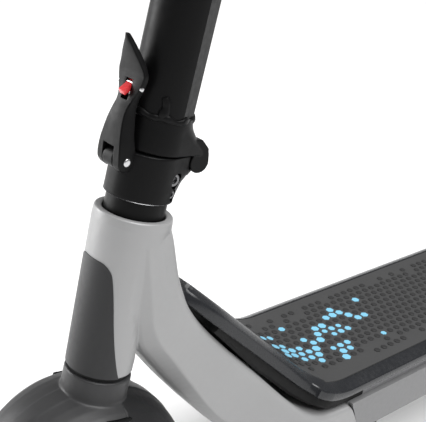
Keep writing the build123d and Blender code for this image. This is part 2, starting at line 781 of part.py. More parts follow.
with BuildPart() as hinge_block:
    with BuildSketch(across(clamp_height)):
        with Locations(((block_front_e + block_rear_e) / 2, 0)):
            RectangleRounded(block_front_e - block_rear_e, 2 * block_half, 25)
    with BuildSketch(across(clamp_height + 9)):
        with Locations(((block_front_e + block_rear_e) / 2 + 0.5, 0)):
            RectangleRounded(block_front_e - block_rear_e - 1, 2 * block_half, 25)
    with BuildSketch(across(block_top)):
        with Locations((stem_offset, 0)):
            RectangleRounded(2 * stem_radius, 2 * stem_radius, stem_radius - 0.5)
    loft()
    with BuildSketch(across(stem_bottom)):
        with Locations((stem_offset, 0)):
            Circle(stem_radius)
    extrude(amount=block_top - stem_bottom + 5, mode=Mode.SUBTRACT)
    for side in (1, -1):
        with BuildSketch(pivot(hinge_e, hinge_s, side * (knuckle_half + part_gap))):
            Circle(knuckle_radius)
        extrude(amount=side * (knuckle_reach - knuckle_half - part_gap))
        with BuildSketch(beside(side * (knuckle_half + part_gap))):
            with BuildLine():
                Polyline((hinge_e - knuckle_radius, hinge_s), (hinge_e - 9, hinge_s + 10),
                         (hinge_e + 10, hinge_s + 24), (hinge_e + knuckle_radius, clamp_height),
                         (hinge_e + knuckle_radius, hinge_s), close=True)
            make_face()
        extrude(amount=-side * (knuckle_reach - knuckle_half - part_gap))
    with BuildSketch(pivot(hinge_e, hinge_s, 0)):
        Circle(knuckle_radius - 0.5)
    extrude(amount=knuckle_half + part_gap, both=True, mode=Mode.SUBTRACT)
    with BuildSketch(pivot(hinge_e, hinge_s, 0)):
        Circle(hinge_pin_radius + run_gap)
    extrude(amount=knuckle_reach + 1, both=True, mode=Mode.SUBTRACT)
save("hinge_block", hinge_block.part)

# The lever's outline in (e, s), up its front and down its back.
lever_front = [(lug_e + 5, lug_s - 8.5), (41.0, 44.0), (43.5, 60.0), (43.0, 74.0), (39.0, 85.0),
               (34.5, 98.0), (37.0, 112.0), (43.5, 134.0)]
lever_back = [(40.5, 134.0), (31.5, 108.0), (29.0, 97.0), (29.5, 80.0), (28.0, 62.0),
              (26.5, 44.0), (lug_e - 8.5, lug_s - 4)]

with BuildPart() as latch_lever:
    with BuildSketch(beside()):
        with BuildLine():
            Polyline(*lever_front, *lever_back, close=True)
        make_face()
        with Locations((lug_e, lug_s)):
            Circle(lug_radius + 0.8)
    extrude(amount=lever_half, both=True)
    with BuildSketch(Plane(origin=at(60, 0), x_dir=(0, 1, 0), z_dir=E)):
        with BuildLine():
            Polyline((lever_half, 107), (3, 135), (40, 135), (40, 107), close=True)
        make_face()
        with BuildLine():
            Polyline((-lever_half, 107), (-3, 135), (-40, 135), (-40, 107), close=True)
        make_face()
    extrude(amount=-60, mode=Mode.SUBTRACT)
    with BuildSketch(beside()):
        with Locations((lug_e, lug_s - 2)):
            Rectangle(2 * lug_radius + 14, 2 * lug_radius + 8)
    extrude(amount=lug_half + cheek_gap, both=True, mode=Mode.SUBTRACT)
    with BuildSketch(beside()):
        with Locations((35, catch_s - 6)):
            Rectangle(30, 23)
    extrude(amount=catch_half + cheek_gap, both=True, mode=Mode.SUBTRACT)
    with BuildSketch(pivot(lug_e, lug_s, 0)):
        Circle(lever_pin_radius + run_gap)
    extrude(amount=lever_half + 1, both=True, mode=Mode.SUBTRACT)
    with BuildSketch(pivot(catch_e, catch_s, 0)):
        Circle(catch_pin_radius)
    extrude(amount=lever_half + 1, both=True, mode=Mode.SUBTRACT)
save("latch_lever", latch_lever.part)

with BuildPart() as catch_pin:
    with BuildSketch(pivot(catch_e, catch_s, -lever_half + 0.5)):
        Circle(catch_pin_radius)
    extrude(amount=2 * lever_half - 1)
save("catch_pin", catch_pin.part)

with BuildPart() as safety_catch:
    with BuildSketch(beside()):
        with BuildLine():
            Polyline((catch_e - 2.5, catch_s - 3), (catch_e - 4, catch_s - 5),
                     (catch_e - 4, catch_s - 8), (catch_e, catch_s - 13),
                     (catch_e + 6, catch_s - 16), (catch_e + 10, catch_s - 13),
                     (catch_e + 4.5, catch_s), (catch_e + 2.5, catch_s + 3),
                     (catch_e - 2.5, catch_s + 3), close=True)
        make_face()
    extrude(amount=catch_half, both=True)
    with BuildSketch(pivot(catch_e, catch_s, 0)):
        Circle(catch_pin_radius + run_gap)
    extrude(amount=catch_half + 1, both=True, mode=Mode.SUBTRACT)
save("safety_catch", safety_catch.part)

# ================= stem =================

stem_flat = stem_radius * cos(radians(22.5))


def stem_section(radius):
    """The stem's section: round, with a flat on each side towards the rear."""
    Circle(radius)
    for turn in (stem_flat_turn, -stem_flat_turn):
        with PolarLocations(radius * (1 + cos(radians(22.5))), 1, start_angle=turn):
            Rectangle(2 * radius, 2 * radius, mode=Mode.SUBTRACT)


with BuildPart() as stem_tube:
    with BuildSketch(across(stem_bottom, stem_offset)):
        stem_section(stem_radius)
        Circle(stem_flat - stem_wall, mode=Mode.SUBTRACT)
    extrude(amount=stem_top - stem_bottom)
save("stem_tube", stem_tube.part)

with BuildPart() as latch_striker:
    with BuildSketch(beside()):
        with Locations((stem_offset + stem_radius + 1.4, catch_s - 8)):
            Rectangle(3.4, 14)
    extrude(amount=catch_half - 0.5, both=True)
    with BuildPart(mode=Mode.SUBTRACT):
        add(stem_tube.part)
save("latch_striker", latch_striker.part)

clamp_half = 24.0
clamp_split = 1.0
with BuildPart() as bar_clamp:
    with BuildSketch(across(stem_top, stem_offset)):
        Circle(stem_radius + 1)
    with BuildSketch(across(bar_s, stem_offset)):
        RectangleRounded(48, 2 * clamp_half, 8)
    loft()
    with BuildSketch(across(bar_s + clamp_split, stem_offset)):
        RectangleRounded(48, 2 * clamp_half, 8)
    extrude(amount=20)
    with BuildSketch(pivot(stem_offset, bar_s, 0)):
        Circle(bar_radius)
    extrude(amount=60, both=True, mode=Mode.SUBTRACT)
save("bar_clamp", bar_clamp.part)

with BuildPart() as handlebar:
    with BuildSketch(pivot(stem_offset, bar_s, -bar_half)):
        ring(bar_radius, bar_radius - bar_wall)
    extrude(amount=2 * bar_half)
save("handlebar", handlebar.part)

with BuildPart() as grips:
    for side in (1, -1):
        with BuildSketch(pivot(stem_offset, bar_s, side * (bar_half - grip_length))):
            ring(grip_radius, bar_radius)
        extrude(amount=side * grip_length)
        with BuildSketch(pivot(stem_offset, bar_s, side * (bar_half - grip_length))):
            ring(grip_radius + 3, bar_radius)
        extrude(amount=side * 5)
        with BuildSketch(pivot(stem_offset, bar_s, side * bar_half)):
            Circle(grip_radius)
        extrude(amount=side * 4)
save("grips", grips.part)

lever_ring_y = bar_half - grip_length - ring_width - 3


def bar_ring(side, y):
    """A clamp ring round the handlebar that starts y from the middle."""
    with BuildPart() as clamp_ring:
        with BuildSketch(pivot(stem_offset, bar_s, side * y)):
            ring(ring_radius, bar_radius)
        extrude(amount=side * ring_width)
    return clamp_ring.part


brake_pivot_e = stem_offset + 32.0
brake_pivot_y = lever_ring_y + 10.0
with BuildPart() as brake_perch:
    add(bar_ring(1, lever_ring_y))
    with BuildSketch(across(bar_s - 7)):
        with Locations((stem_offset + 27.5, lever_ring_y + ring_width / 2)):
            Rectangle(20, ring_width)
    extrude(amount=14)
    with BuildSketch(across(bar_s - 4 - part_gap)):
        with Locations((brake_pivot_e + 6, brake_pivot_y)):
            Rectangle(34, 30)
    extrude(amount=8 + 2 * part_gap, mode=Mode.SUBTRACT)
    with BuildSketch(across(bar_s - 7)):
        with Locations((brake_pivot_e, brake_pivot_y)):
            Circle(2.5)
    extrude(amount=14)
save("brake_perch", brake_perch.part)

with BuildPart() as brake_lever:
    with BuildSketch(across(bar_s - 4)):
        with BuildLine():
            Polyline((brake_pivot_e - 5, brake_pivot_y - 6), (brake_pivot_e + 6, brake_pivot_y - 6),
                     (brake_pivot_e + 18, brake_pivot_y + 12), (brake_pivot_e + 24, brake_pivot_y + 55),
                     (brake_pivot_e + 20, brake_pivot_y + 98), (brake_pivot_e + 13, brake_pivot_y + 98),
                     (brake_pivot_e + 15, brake_pivot_y + 55), (brake_pivot_e + 8, brake_pivot_y + 14),
                     (brake_pivot_e - 4, brake_pivot_y + 5), close=True)
        make_face()
        with Locations((brake_pivot_e, brake_pivot_y)):
            Circle(2.5 + run_gap, mode=Mode.SUBTRACT)
    extrude(amount=8)
save("brake_lever", brake_lever.part)

with BuildPart() as throttle_housing:
    add(bar_ring(-1, lever_ring_y))
    with BuildSketch(pivot(stem_offset, bar_s, -lever_ring_y)):
        ring(ring_radius + 3, bar_radius)
    extrude(amount=-ring_width + 8)
save("throttle_housing", throttle_housing.part)

with BuildPart() as thumb_throttle:
    with BuildSketch(pivot(stem_offset, bar_s, -lever_ring_y - 6 - part_gap)):
        ring(ring_radius + 6, ring_radius + part_gap)
    extrude(amount=-7)
    with BuildSketch(pivot(stem_offset, bar_s, -lever_ring_y - 6 - part_gap)):
        with Locations((-8, 29)):
            RectangleRounded(11, 28, 4)
    extrude(amount=-7)
    with BuildSketch(pivot(stem_offset, bar_s, -lever_ring_y - 7)):
        Circle(ring_radius + part_gap)
    extrude(amount=20, both=True, mode=Mode.SUBTRACT)
save("thumb_throttle", thumb_throttle.part)

bell_y = 58.0
with BuildPart() as bell:
    with BuildSketch(pivot(stem_offset, bar_s, bell_y - 5)):
        ring(ring_radius - 0.5, bar_radius)
    extrude(amount=10)
    with BuildSketch(Plane(origin=at(stem_offset, bar_s + ring_radius + 5, bell_y), x_dir=E,
                           z_dir=(0, -1, 0))):
        with BuildLine():
            Polyline((0, -7.5), (4.5, -7.5), (4.5, 0), (15, 0), (14, 6), (9, 11), (0, 13),
                     close=True)
        make_face()
    revolve(axis=Axis(at(stem_offset, bar_s, bell_y), A))
save("bell", bell.part)

striker_s = bar_s + ring_radius + 1.5
with BuildPart() as bell_striker:
    with BuildSketch(Plane(origin=at(stem_offset, striker_s, bell_y), x_dir=E, z_dir=A)):
        Circle(8)
        with Locations((0, 14)):
            RectangleRounded(7, 20, 3)
        Circle(4.5 + run_gap, mode=Mode.SUBTRACT)
    extrude(amount=3)
save("bell_striker", bell_striker.part)

with BuildPart() as display_housing:
    with BuildSketch(across(bar_s + 21.0, stem_offset)):
        RectangleRounded(56, 46, 10)
    extrude(amount=10)
    with BuildSketch(across(bar_s + 29.0, stem_offset)):
        RectangleRounded(48, 38, 7)
    extrude(amount=4, mode=Mode.SUBTRACT)
save("display_housing", display_housing.part)

with BuildPart() as display_lens:
    with BuildSketch(across(bar_s + 29.0, stem_offset)):
        RectangleRounded(48, 38, 7)
        with Locations((-17, 0)):
            Circle(5, mode=Mode.SUBTRACT)
    extrude(amount=1.6)
save("display_lens", display_lens.part)

with BuildPart() as power_button:
    with BuildSketch(across(bar_s + 29.0 + 0.6, stem_offset)):
        with Locations((-17, 0)):
            Circle(4.7)
    extrude(amount=2.2)
save("power_button", power_button.part)

lamp_s = 712.0
with BuildPart() as headlamp_housing:
    with BuildSketch(Plane(origin=at(stem_offset + stem_radius - 4, lamp_s), x_dir=(0, 1, 0),
                           z_dir=E)):
        RectangleRounded(30, 22, 8)
    extrude(amount=10)
    with BuildSketch(Plane(origin=at(stem_offset + stem_radius + 4, lamp_s), x_dir=(0, 1, 0),
                           z_dir=E)):
        Circle(19)
    with BuildSketch(Plane(origin=at(stem_offset + stem_radius + 26, lamp_s), x_dir=(0, 1, 0),
                           z_dir=E)):
        Circle(21)
    loft()
    with BuildSketch(Plane(origin=at(stem_offset + stem_radius + 20, lamp_s), x_dir=(0, 1, 0),
                           z_dir=E)):
        Circle(17.5)
    extrude(amount=10, mode=Mode.SUBTRACT)
    with BuildPart(mode=Mode.SUBTRACT):
        add(stem_tube.part)
save("headlamp_housing", headlamp_housing.part)

with BuildPart() as headlamp_lens:
    with BuildSketch(Plane(origin=at(stem_offset + stem_radius + 20, lamp_s), x_dir=(0, 1, 0),
                           z_dir=E)):
        Circle(17.5)
    extrude(amount=4.5)
save("headlamp_lens", headlamp_lens.part)

# ================= kickstand =================

stand_x = -330.0
stand_y = 46.0
stand_z = under_z - 13.0
stand_pin_radius = 4.0
stand_lean = 24.0            # how far the leg stands out from upright, degrees
stand_ahead = 14.0           # how far its foot stands ahead of its pivot
leg_radius = 6.5
stand_ear = 6.0
stand_knuckle = 9.0          # half length of the leg's knuckle

stand_pivot = Vector(seam_x + stand_x, stand_y, stand_z)

with BuildPart() as kickstand_bracket:
    with BuildSketch(Plane(origin=(seam_x + stand_x, stand_y, under_z - 4), x_dir=(1, 0, 0),
                           z_dir=(0, 0, 1))):
        RectangleRounded(60, 40, 5)
    extrude(amount=4)
    for side in (1, -1):
        with BuildSketch(Plane(origin=stand_pivot + Vector(0, side * (stand_knuckle + part_gap), 0),
                               x_dir=(1, 0, 0), z_dir=(0, 1, 0))):
            Circle(9)
            with Locations((0, -4.5)):
                Rectangle(18, 9)
        extrude(amount=side * stand_ear)
    with BuildSketch(Plane(origin=stand_pivot - Vector(0, 17, 0), x_dir=(1, 0, 0),
                           z_dir=(0, 1, 0))):
        Circle(stand_pin_radius)
    extrude(amount=34)
save("kickstand_bracket", kickstand_bracket.part)

leg_foot = Vector(seam_x + stand_x + stand_ahead,
                  stand_y + (stand_z - 7) * tan(radians(stand_lean)), 7.0)
leg_dir = (leg_foot - stand_pivot).normalized()
with BuildPart() as kickstand_leg:
    with BuildSketch(Plane(origin=stand_pivot - Vector(0, stand_knuckle, 0), x_dir=(1, 0, 0),
                           z_dir=(0, 1, 0))):
        Circle(8)
    extrude(amount=2 * stand_knuckle)
    with BuildSketch(Plane(origin=stand_pivot + leg_dir * 8, x_dir=(1, 0, 0), z_dir=leg_dir)):
        Circle(leg_radius)
    extrude(amount=(leg_foot - stand_pivot).length - 8)
    with BuildSketch(Plane(origin=(leg_foot.X, leg_foot.Y, 0))):
        RectangleRounded(34, 24, 8)
    extrude(amount=10)
    with BuildSketch(Plane(origin=stand_pivot, x_dir=(1, 0, 0), z_dir=(0, 1, 0))):
        Circle(stand_pin_radius + run_gap)
    extrude(amount=20, both=True, mode=Mode.SUBTRACT)
    with BuildSketch(Plane(origin=stand_pivot + Vector(0, stand_knuckle, 0), x_dir=(1, 0, 0),
                           z_dir=(0, 1, 0))):
        Circle(9.5)
    extrude(amount=stand_ear + 1, mode=Mode.SUBTRACT)
save("kickstand_leg", kickstand_leg.part)

# ================= charge port =================

port_x = -300.0
port_z = -deck_drop - trim_drop - trim_depth / 2
with BuildPart() as charge_port:
    with BuildSketch(side_view(-deck_half)):
        with Locations((port_x, port_z)):
            RectangleRounded(30, 22, 5)
    extrude(amount=2.5)
    with BuildSketch(side_view(-deck_half - 1.0)):
        with Locations((port_x, port_z)):
            Circle(6)
    extrude(amount=4, mode=Mode.SUBTRACT)
save("charge_port", charge_port.part)

cap_hinge_z = seam_height + port_z + 10.0
with BuildPart() as port_cap:
    with BuildSketch(side_view(-deck_half - 2.5 - part_gap)):
        with Locations((port_x, port_z)):
            RectangleRounded(26, 20, 6)
    extrude(amount=2.5)
    with BuildSketch(Plane(origin=(seam_x + port_x - 9, -deck_half - 4.3, cap_hinge_z),
                           z_dir=(1, 0, 0), x_dir=(0, 1, 0))):
        Circle(1.5)
    extrude(amount=18)
save("port_cap", port_cap.part)
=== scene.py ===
import json
import math
import random

import bmesh
import bpy
from mathutils import Matrix, Vector, noise


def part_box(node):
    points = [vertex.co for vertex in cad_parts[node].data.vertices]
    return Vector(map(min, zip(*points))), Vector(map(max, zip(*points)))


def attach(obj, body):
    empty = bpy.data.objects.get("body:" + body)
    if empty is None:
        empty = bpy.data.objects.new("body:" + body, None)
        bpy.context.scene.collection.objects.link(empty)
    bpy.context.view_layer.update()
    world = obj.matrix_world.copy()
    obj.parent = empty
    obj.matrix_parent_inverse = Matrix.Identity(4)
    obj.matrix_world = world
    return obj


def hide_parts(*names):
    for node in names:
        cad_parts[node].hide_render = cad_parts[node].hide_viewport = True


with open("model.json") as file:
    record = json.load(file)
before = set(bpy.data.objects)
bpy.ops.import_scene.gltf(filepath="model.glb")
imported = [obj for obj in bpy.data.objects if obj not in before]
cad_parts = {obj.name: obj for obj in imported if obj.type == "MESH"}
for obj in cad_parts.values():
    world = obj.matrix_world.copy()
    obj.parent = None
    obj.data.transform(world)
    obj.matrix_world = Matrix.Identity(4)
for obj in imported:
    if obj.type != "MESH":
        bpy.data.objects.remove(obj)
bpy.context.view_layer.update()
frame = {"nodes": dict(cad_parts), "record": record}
nodes = frame["nodes"]
record = frame["record"]

# ---------------------------------------------------------------------------
# The scooter's own directions. Sizes below are in millimetres from the seam of
# the folding joint, either (x, y, z) level with the ground or (e, s, y) with e
# forward of the steering axis and s up along it.
# ---------------------------------------------------------------------------
MM = 0.001
JOINTS = {j["name"]: j for j in record["behaviour"]["joints"]}
SEAM = Vector(JOINTS["steering"]["pos_m"])
UP = Vector(JOINTS["steering"]["axis"]).normalized()
LEFT = Vector((0, 1, 0))
AHEAD = LEFT.cross(UP)


def at(e, s, y=0.0):
    """A point in steering coordinates."""
    return SEAM + (AHEAD * e + UP * s + LEFT * y) * MM


def level(x, y, z):
    """A point in level coordinates."""
    return SEAM + Vector((x, y, z)) * MM


def lerp(a, b, t):
    return a + (b - a) * t


# ---------------------------------------------------------------------------
# Materials
# ---------------------------------------------------------------------------


def finish_material(name, rgb, rough, metal=0.0, spec=0.5, coat=0.0, grain=1400.0, bump=0.05,
                    depth=0.0002, mottle=0.08, blotch=22.0, alpha=1.0, stretch=(1, 1, 1),
                    transmission=0.0):
    """A procedural finish: fine grain in the bump, soft mottling in colour and roughness."""
    mat = bpy.data.materials.new(name)
    mat.use_nodes = True
    tree = mat.node_tree
    shader = tree.nodes["Principled BSDF"]
    coords = tree.nodes.new("ShaderNodeTexCoord")
    mapping = tree.nodes.new("ShaderNodeMapping")
    mapping.inputs["Scale"].default_value = stretch
    tree.links.new(coords.outputs["Object"], mapping.inputs["Vector"])

    def texture(scale, detail):
        node = tree.nodes.new("ShaderNodeTexNoise")
        node.inputs["Scale"].default_value = scale
        node.inputs["Detail"].default_value = detail
        tree.links.new(mapping.outputs["Vector"], node.inputs["Vector"])
        return node

    fine = texture(grain, 2.0)
    broad = texture(blotch, 4.0)
    medium = texture(blotch * 9, 3.0)

    mix = tree.nodes.new("ShaderNodeMix")
    mix.data_type = "RGBA"
    mix.inputs[6].default_value = (*[c * (1 - mottle) for c in rgb], 1)
    mix.inputs[7].default_value = (*[min(1, c * (1 + mottle)) for c in rgb], 1)
    tree.links.new(broad.outputs[0], mix.inputs[0])
    tree.links.new(mix.outputs[2], shader.inputs["Base Color"])

    spread = tree.nodes.new("ShaderNodeMapRange")
    spread.inputs["From Min"].default_value = 0.3
    spread.inputs["From Max"].default_value = 0.7
    spread.inputs["To Min"].default_value = max(0.02, rough - 0.05)
    spread.inputs["To Max"].default_value = min(1.0, rough + 0.05)
    tree.links.new(medium.outputs[0], spread.inputs["Value"])
    tree.links.new(spread.outputs[0], shader.inputs["Roughness"])

    dent = tree.nodes.new("ShaderNodeBump")
    dent.inputs["Strength"].default_value = bump
    dent.inputs["Distance"].default_value = depth
    tree.links.new(fine.outputs[0], dent.inputs["Height"])
    tree.links.new(dent.outputs["Normal"], shader.inputs["Normal"])

    shader.inputs["Metallic"].default_value = metal
    shader.inputs["Specular IOR Level"].default_value = spec
    shader.inputs["Coat Weight"].default_value = coat
    shader.inputs["Coat Roughness"].default_value = 0.12
    shader.inputs["Alpha"].default_value = alpha
    shader.inputs["Transmission Weight"].default_value = transmission
    return mat


SLOT_FINISH = {
    "silver_casting": dict(rgb=(0.33, 0.33, 0.332), rough=0.42, metal=0.2, grain=2600,
                           bump=0.18, depth=0.00012, mottle=0.03),
    "chassis_metal": dict(rgb=(0.38, 0.38, 0.39), rough=0.38, metal=0.6, mottle=0.04,
                          stretch=(0.15, 1, 1), grain=1800, bump=0.12),
    "trim_grey": dict(rgb=(0.2, 0.2, 0.203), rough=0.45, metal=0.2, mottle=0.03, grain=2200,
                      bump=0.12),
    "black_metal": dict(rgb=(0.003, 0.003, 0.0032), rough=0.4, spec=0.14, grain=2400,
                        bump=0.12, depth=0.00012, mottle=0.15),
    "black_plastic": dict(rgb=(0.012, 0.012, 0.0128), rough=0.42, spec=0.3, grain=1900,
                          bump=0.2, mottle=0.12),
    "grey_plastic": dict(rgb=(0.03, 0.03, 0.031), rough=0.42, spec=0.4, grain=1900, bump=0.15,
                         mottle=0.08),
    "badge_dark": dict(rgb=(0.015, 0.015, 0.016), rough=0.42, spec=0.4, grain=2600, bump=0.08,
                       mottle=0.06),
    "mat_rubber": dict(rgb=(0.05, 0.05, 0.0505), rough=0.66, spec=0.3, grain=1500, bump=0.3,
                       mottle=0.08),
    "black_rubber": dict(rgb=(0.008, 0.008, 0.008), rough=0.7, spec=0.25, grain=1300, bump=0.4,
                         mottle=0.2),
    "tyre": dict(rgb=(0.011, 0.011, 0.011), rough=0.8, spec=0.25, grain=900, bump=0.5,
                 mottle=0.25),
    "bright_steel": dict(rgb=(0.62, 0.62, 0.63), rough=0.2, metal=1.0, mottle=0.05,
                         grain=2000, bump=0.06),
    "brushed_steel": dict(rgb=(0.45, 0.45, 0.46), rough=0.34, metal=1.0, mottle=0.08,
                          stretch=(1, 0.1, 1), grain=1600, bump=0.15),
    "hub_metal": dict(rgb=(0.02, 0.02, 0.021), rough=0.42, metal=0.4, mottle=0.12, bump=0.12),
    "red_plastic": dict(rgb=(0.72, 0.035, 0.04), rough=0.3, coat=0.3, mottle=0.06, bump=0.06),
    "clear_lens": dict(rgb=(0.85, 0.88, 0.92), rough=0.08, mottle=0.02, bump=0.03, alpha=0.45,
                       transmission=0.3),
    "red_lens": dict(rgb=(0.4, 0.01, 0.012), rough=0.15, coat=0.6, mottle=0.08, bump=0.04),
    "dark_glass": dict(rgb=(0.006, 0.006, 0.009), rough=0.08, coat=0.5, mottle=0.1, bump=0.02),
    "copper_core": dict(rgb=(0.35, 0.14, 0.06), rough=0.4, metal=0.8, mottle=0.2, bump=0.3),
    "battery_wrap": dict(rgb=(0.03, 0.06, 0.2), rough=0.4, mottle=0.1, bump=0.1),
}
MATERIALS = {s: finish_material(s, **look) for s, look in SLOT_FINISH.items()}
# The deck cover is near black and glossy. The slight blue tint in its colour is a painted
# reflection of the bluish sheen on its bevel.
COVER_GLOSS = finish_material("cover_gloss", (0.011, 0.012, 0.0145), 0.26, spec=0.5, grain=1900,
                              bump=0.05, mottle=0.1)
DARK_STEEL = finish_material("dark_steel", (0.2, 0.2, 0.205), 0.28, metal=1.0, mottle=0.1,
                             grain=2000, bump=0.08)
# Plain studs: darker than the mat, as painted shade of the shadowed hollows they stand for.
STUD_PAINTED_SHADE = finish_material("stud_painted_shade", (0.024, 0.024, 0.0245), 0.6, spec=0.3, grain=1500,
                            bump=0.3)
CYAN = finish_material("cyan_print", (0.2, 0.5, 0.68), 0.5, spec=0.3, mottle=0.05,
                       grain=1500, bump=0.15)

NODE_SLOT = {}
for sub in record["subparts"]:
    NODE_SLOT[sub["node"]] = sub["material_slot"]
    mesh_data = nodes[sub["node"]].data
    mesh_data.materials.clear()
    mesh_data.materials.append(MATERIALS[sub["material_slot"]])

# ---------------------------------------------------------------------------
# Making pieces
# ---------------------------------------------------------------------------


WELD = 1e-6


def repair(mesh, weld=True):
    """Turns every face outwards, and joins points that lie on each other unless told not to."""
    shape = bmesh.new()
    shape.from_mesh(mesh)
    if weld:
        bmesh.ops.remove_doubles(shape, verts=shape.verts, dist=WELD)
    bmesh.ops.recalc_face_normals(shape, faces=shape.faces)
    shape.to_mesh(mesh)
    shape.free()


def mesh_object(name, verts, faces):
    """An object with a new mesh. It isn't in the scene yet."""
    mesh = bpy.data.meshes.new(name)
    mesh.from_pydata([tuple(v) for v in verts], [], faces)
    return bpy.data.objects.new(name, mesh)


def place(obj, body, slot, stands_for=(), crease=32.0, material=None):
    """Links a piece, gives it its finish and puts it on its body."""
    bpy.context.scene.collection.objects.link(obj)
    obj.data.materials.clear()
    obj.data.materials.append(material or MATERIALS[slot])
    obj.data.polygons.foreach_set("use_smooth", [True] * len(obj.data.polygons))
    obj.data.set_sharp_from_angle(angle=math.radians(crease))
    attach(obj, body)
    if stands_for:
        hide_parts(*stands_for)


def piece(name, verts, faces, body, slot, stands_for=(), crease=32.0, material=None):
    """A new mesh piece on a body, in a slot's finish, standing for these CAD nodes."""
    obj = mesh_object(name, verts, faces)
    repair(obj.data)
    place(obj, body, slot, stands_for, crease, material)


def add_solid(verts, faces, more):
    """Adds another solid's vertices and faces to these lists."""
    start = len(verts)
    verts += more[0]
    faces += [tuple(i + start for i in f) for f in more[1]]


def mirrored(points):
    """The right-hand partners of points on the left, in reverse order."""
    return [Vector((p.x, -p.y, p.z)) for p in points][::-1]


def loft(rings):
    """Vertices and faces of a capped skin over rings that have equal numbers of points."""
    n = len(rings[0])
    verts = [p for ring in rings for p in ring]
    faces = []
    for i in range(len(rings) - 1):
        for j in range(n):
            k = (j + 1) % n
            faces.append((i * n + j, i * n + k, (i + 1) * n + k, (i + 1) * n + j))
    faces.append(tuple(range(n)))
    last = (len(rings) - 1) * n
    faces.append(tuple(range(last, last + n))[::-1])
    return verts, faces


def wrap(rings):
    """Vertices and faces of a skin over rings, with the last ring joined to the first."""
    n = len(rings[0])
    verts = [p for ring in rings for p in ring]
    faces = []
    for k in range(len(rings)):
        m = (k + 1) % len(rings)
        for j in range(n):
            i = (j + 1) % n
            faces.append((k * n + j, k * n + i, m * n + i, m * n + j))
    return verts, faces


def lathe(profile, centre, axis, start, turns=96):
    """A closed body of revolution. The profile is (radius, height) pairs in millimetres."""
    side = axis.cross(start)
    rings = []
    for k in range(turns):
        a = 2 * math.pi * k / turns
        out = start * math.cos(a) + side * math.sin(a)
        rings.append([centre + (out * r + axis * h) * MM for r, h in profile])
    return wrap(rings)


def slab(outline, y0, y1):
    """A flat solid with this (e, s) outline, from y0 to y1."""
    return loft([[at(e, s, y) for e, s in outline] for y in (y0, y1)])


def arc(e, s, radius, degrees):
    """(e, s) points at these angles on a circle."""
    turns = [math.radians(a) for a in degrees]
    return [(e + radius * math.cos(a), s + radius * math.sin(a)) for a in turns]


def rounded(obj, voxel, smooth):
    """Remeshes a shape and relaxes it, so its edges and joins turn round."""
    repair(obj.data)
    scene = bpy.context.scene
    scene.collection.objects.link(obj)
    grid = obj.modifiers.new("grid", "REMESH")
    grid.mode = "VOXEL"
    grid.voxel_size = voxel * MM
    relax = obj.modifiers.new("relax", "SMOOTH")
    relax.factor = 0.5
    relax.iterations = smooth
    graph = bpy.context.evaluated_depsgraph_get()
    made = bpy.data.meshes.new_from_object(obj.evaluated_get(graph))
    obj.modifiers.clear()
    obj.data = made
    scene.collection.objects.unlink(obj)
    return obj


def soften(name, cad, body, voxel, smooth):
    """A copy of a CAD node with its edges rounded as a casting's or a moulding's are."""
    source = nodes[cad].data
    obj = mesh_object(name, [v.co for v in source.vertices],
                      [tuple(p.vertices) for p in source.polygons])
    place(rounded(obj, voxel, smooth), body, NODE_SLOT[cad], [cad], 40.0)


def rounded_corner(before, corner, after, size, steps=4):
    """Points that replace a corner by a smooth turn of about this size in metres."""
    a = (before - corner).normalized() * min(size, (before - corner).length * 0.45)
    b = (after - corner).normalized() * min(size, (after - corner).length * 0.45)
    out = []
    for k in range(steps + 1):
        t = k / steps
        out.append(corner + a * (1 - t) ** 2 + b * t ** 2)
    return out


def through(points, t):
    """A smooth curve through tuples of numbers; t runs from 0 to len - 1."""
    i = min(int(t), len(points) - 2)
    u = t - i
    p1, p2 = points[i], points[i + 1]
    p0 = points[i - 1] if i > 0 else [2 * a - b for a, b in zip(p1, p2)]
    p3 = points[i + 2] if i + 2 < len(points) else [2 * b - a for a, b in zip(p1, p2)]
    out = []
    for a, b, c, d in zip(p0, p1, p2, p3):
        out.append(0.5 * (2 * b + (c - a) * u + (2 * a - 5 * b + 4 * c - d) * u * u
                          + (3 * b - a - 3 * c + d) * u ** 3))
    return out


# ---------------------------------------------------------------------------
# Frame casting: the head tube and the neck that sweeps down to the deck
# ---------------------------------------------------------------------------
HEAD_TOP, HEAD_LOW = -15.0, -165.4
HEAD_TOP_R, HEAD_LOW_R = 35.5, 30.6
RIM_BORE, RIM_DEPTH = 28.0, -25.0
# The tube widens steadily from its foot to here.
TAPER_TOP, TAPER_STEPS = HEAD_TOP - 10, 12

# Along the neck, for its left side: upper edge x, z and half width, side crease x, z and half
# width, underside edge x, z and half width, the side's bulge, the top's crown.
NECK = [
    (-19.0, -30, 29.5, 11, -35, 35.6, 18.7, -33, 31.0, 1.4, 6.0),
    (-22.5, -42, 30.0, 8, -62, 36.0, 19.5, -59, 29.5, 1.2, 5.0),
    (-30.5, -75, 30.0, 2.5, -96, 35.2, 17, -96, 27.5, 1.0, 3.0),
    (-37.5, -94, 30.0, -2.5, -120, 34.0, 14, -116, 25.5, 0.6, 1.2),
    (-48, -117, 30.5, -12, -140, 33.0, 6, -143, 23, 0.4, 0.8),
    (-67, -143, 32.5, -30, -165, 32.6, -13, -170, 20, 0.3, 0.8),
    (-95, -174, 38.5, -52, -198, 34.0, -38, -203, 19, 0.3, 0.8),
    (-129, -209, 50.5, -80, -239, 40.0, -64, -234, 22, 0.4, 0.8),
    (-150, -232, 62.5, -105, -265, 49.0, -89, -262, 29, 0.6, 0.8),
    (-165, -247.5, 71.5, -132, -288, 61.0, -118, -287, 42, 0.8, 0.8),
    (-180, -259.5, 79.0, -162, -303, 71.5, -150, -303, 56, 0.8, 0.8),
    (-204, -268, 84.5, -197, -310.5, 80.5, -190, -311.5, 69, 0.6, 0.8),
    (-240.2, -270, 86.3, -262.5, -309, 86.0, -262, -312.5, 79, 0.2, 0.5),
]


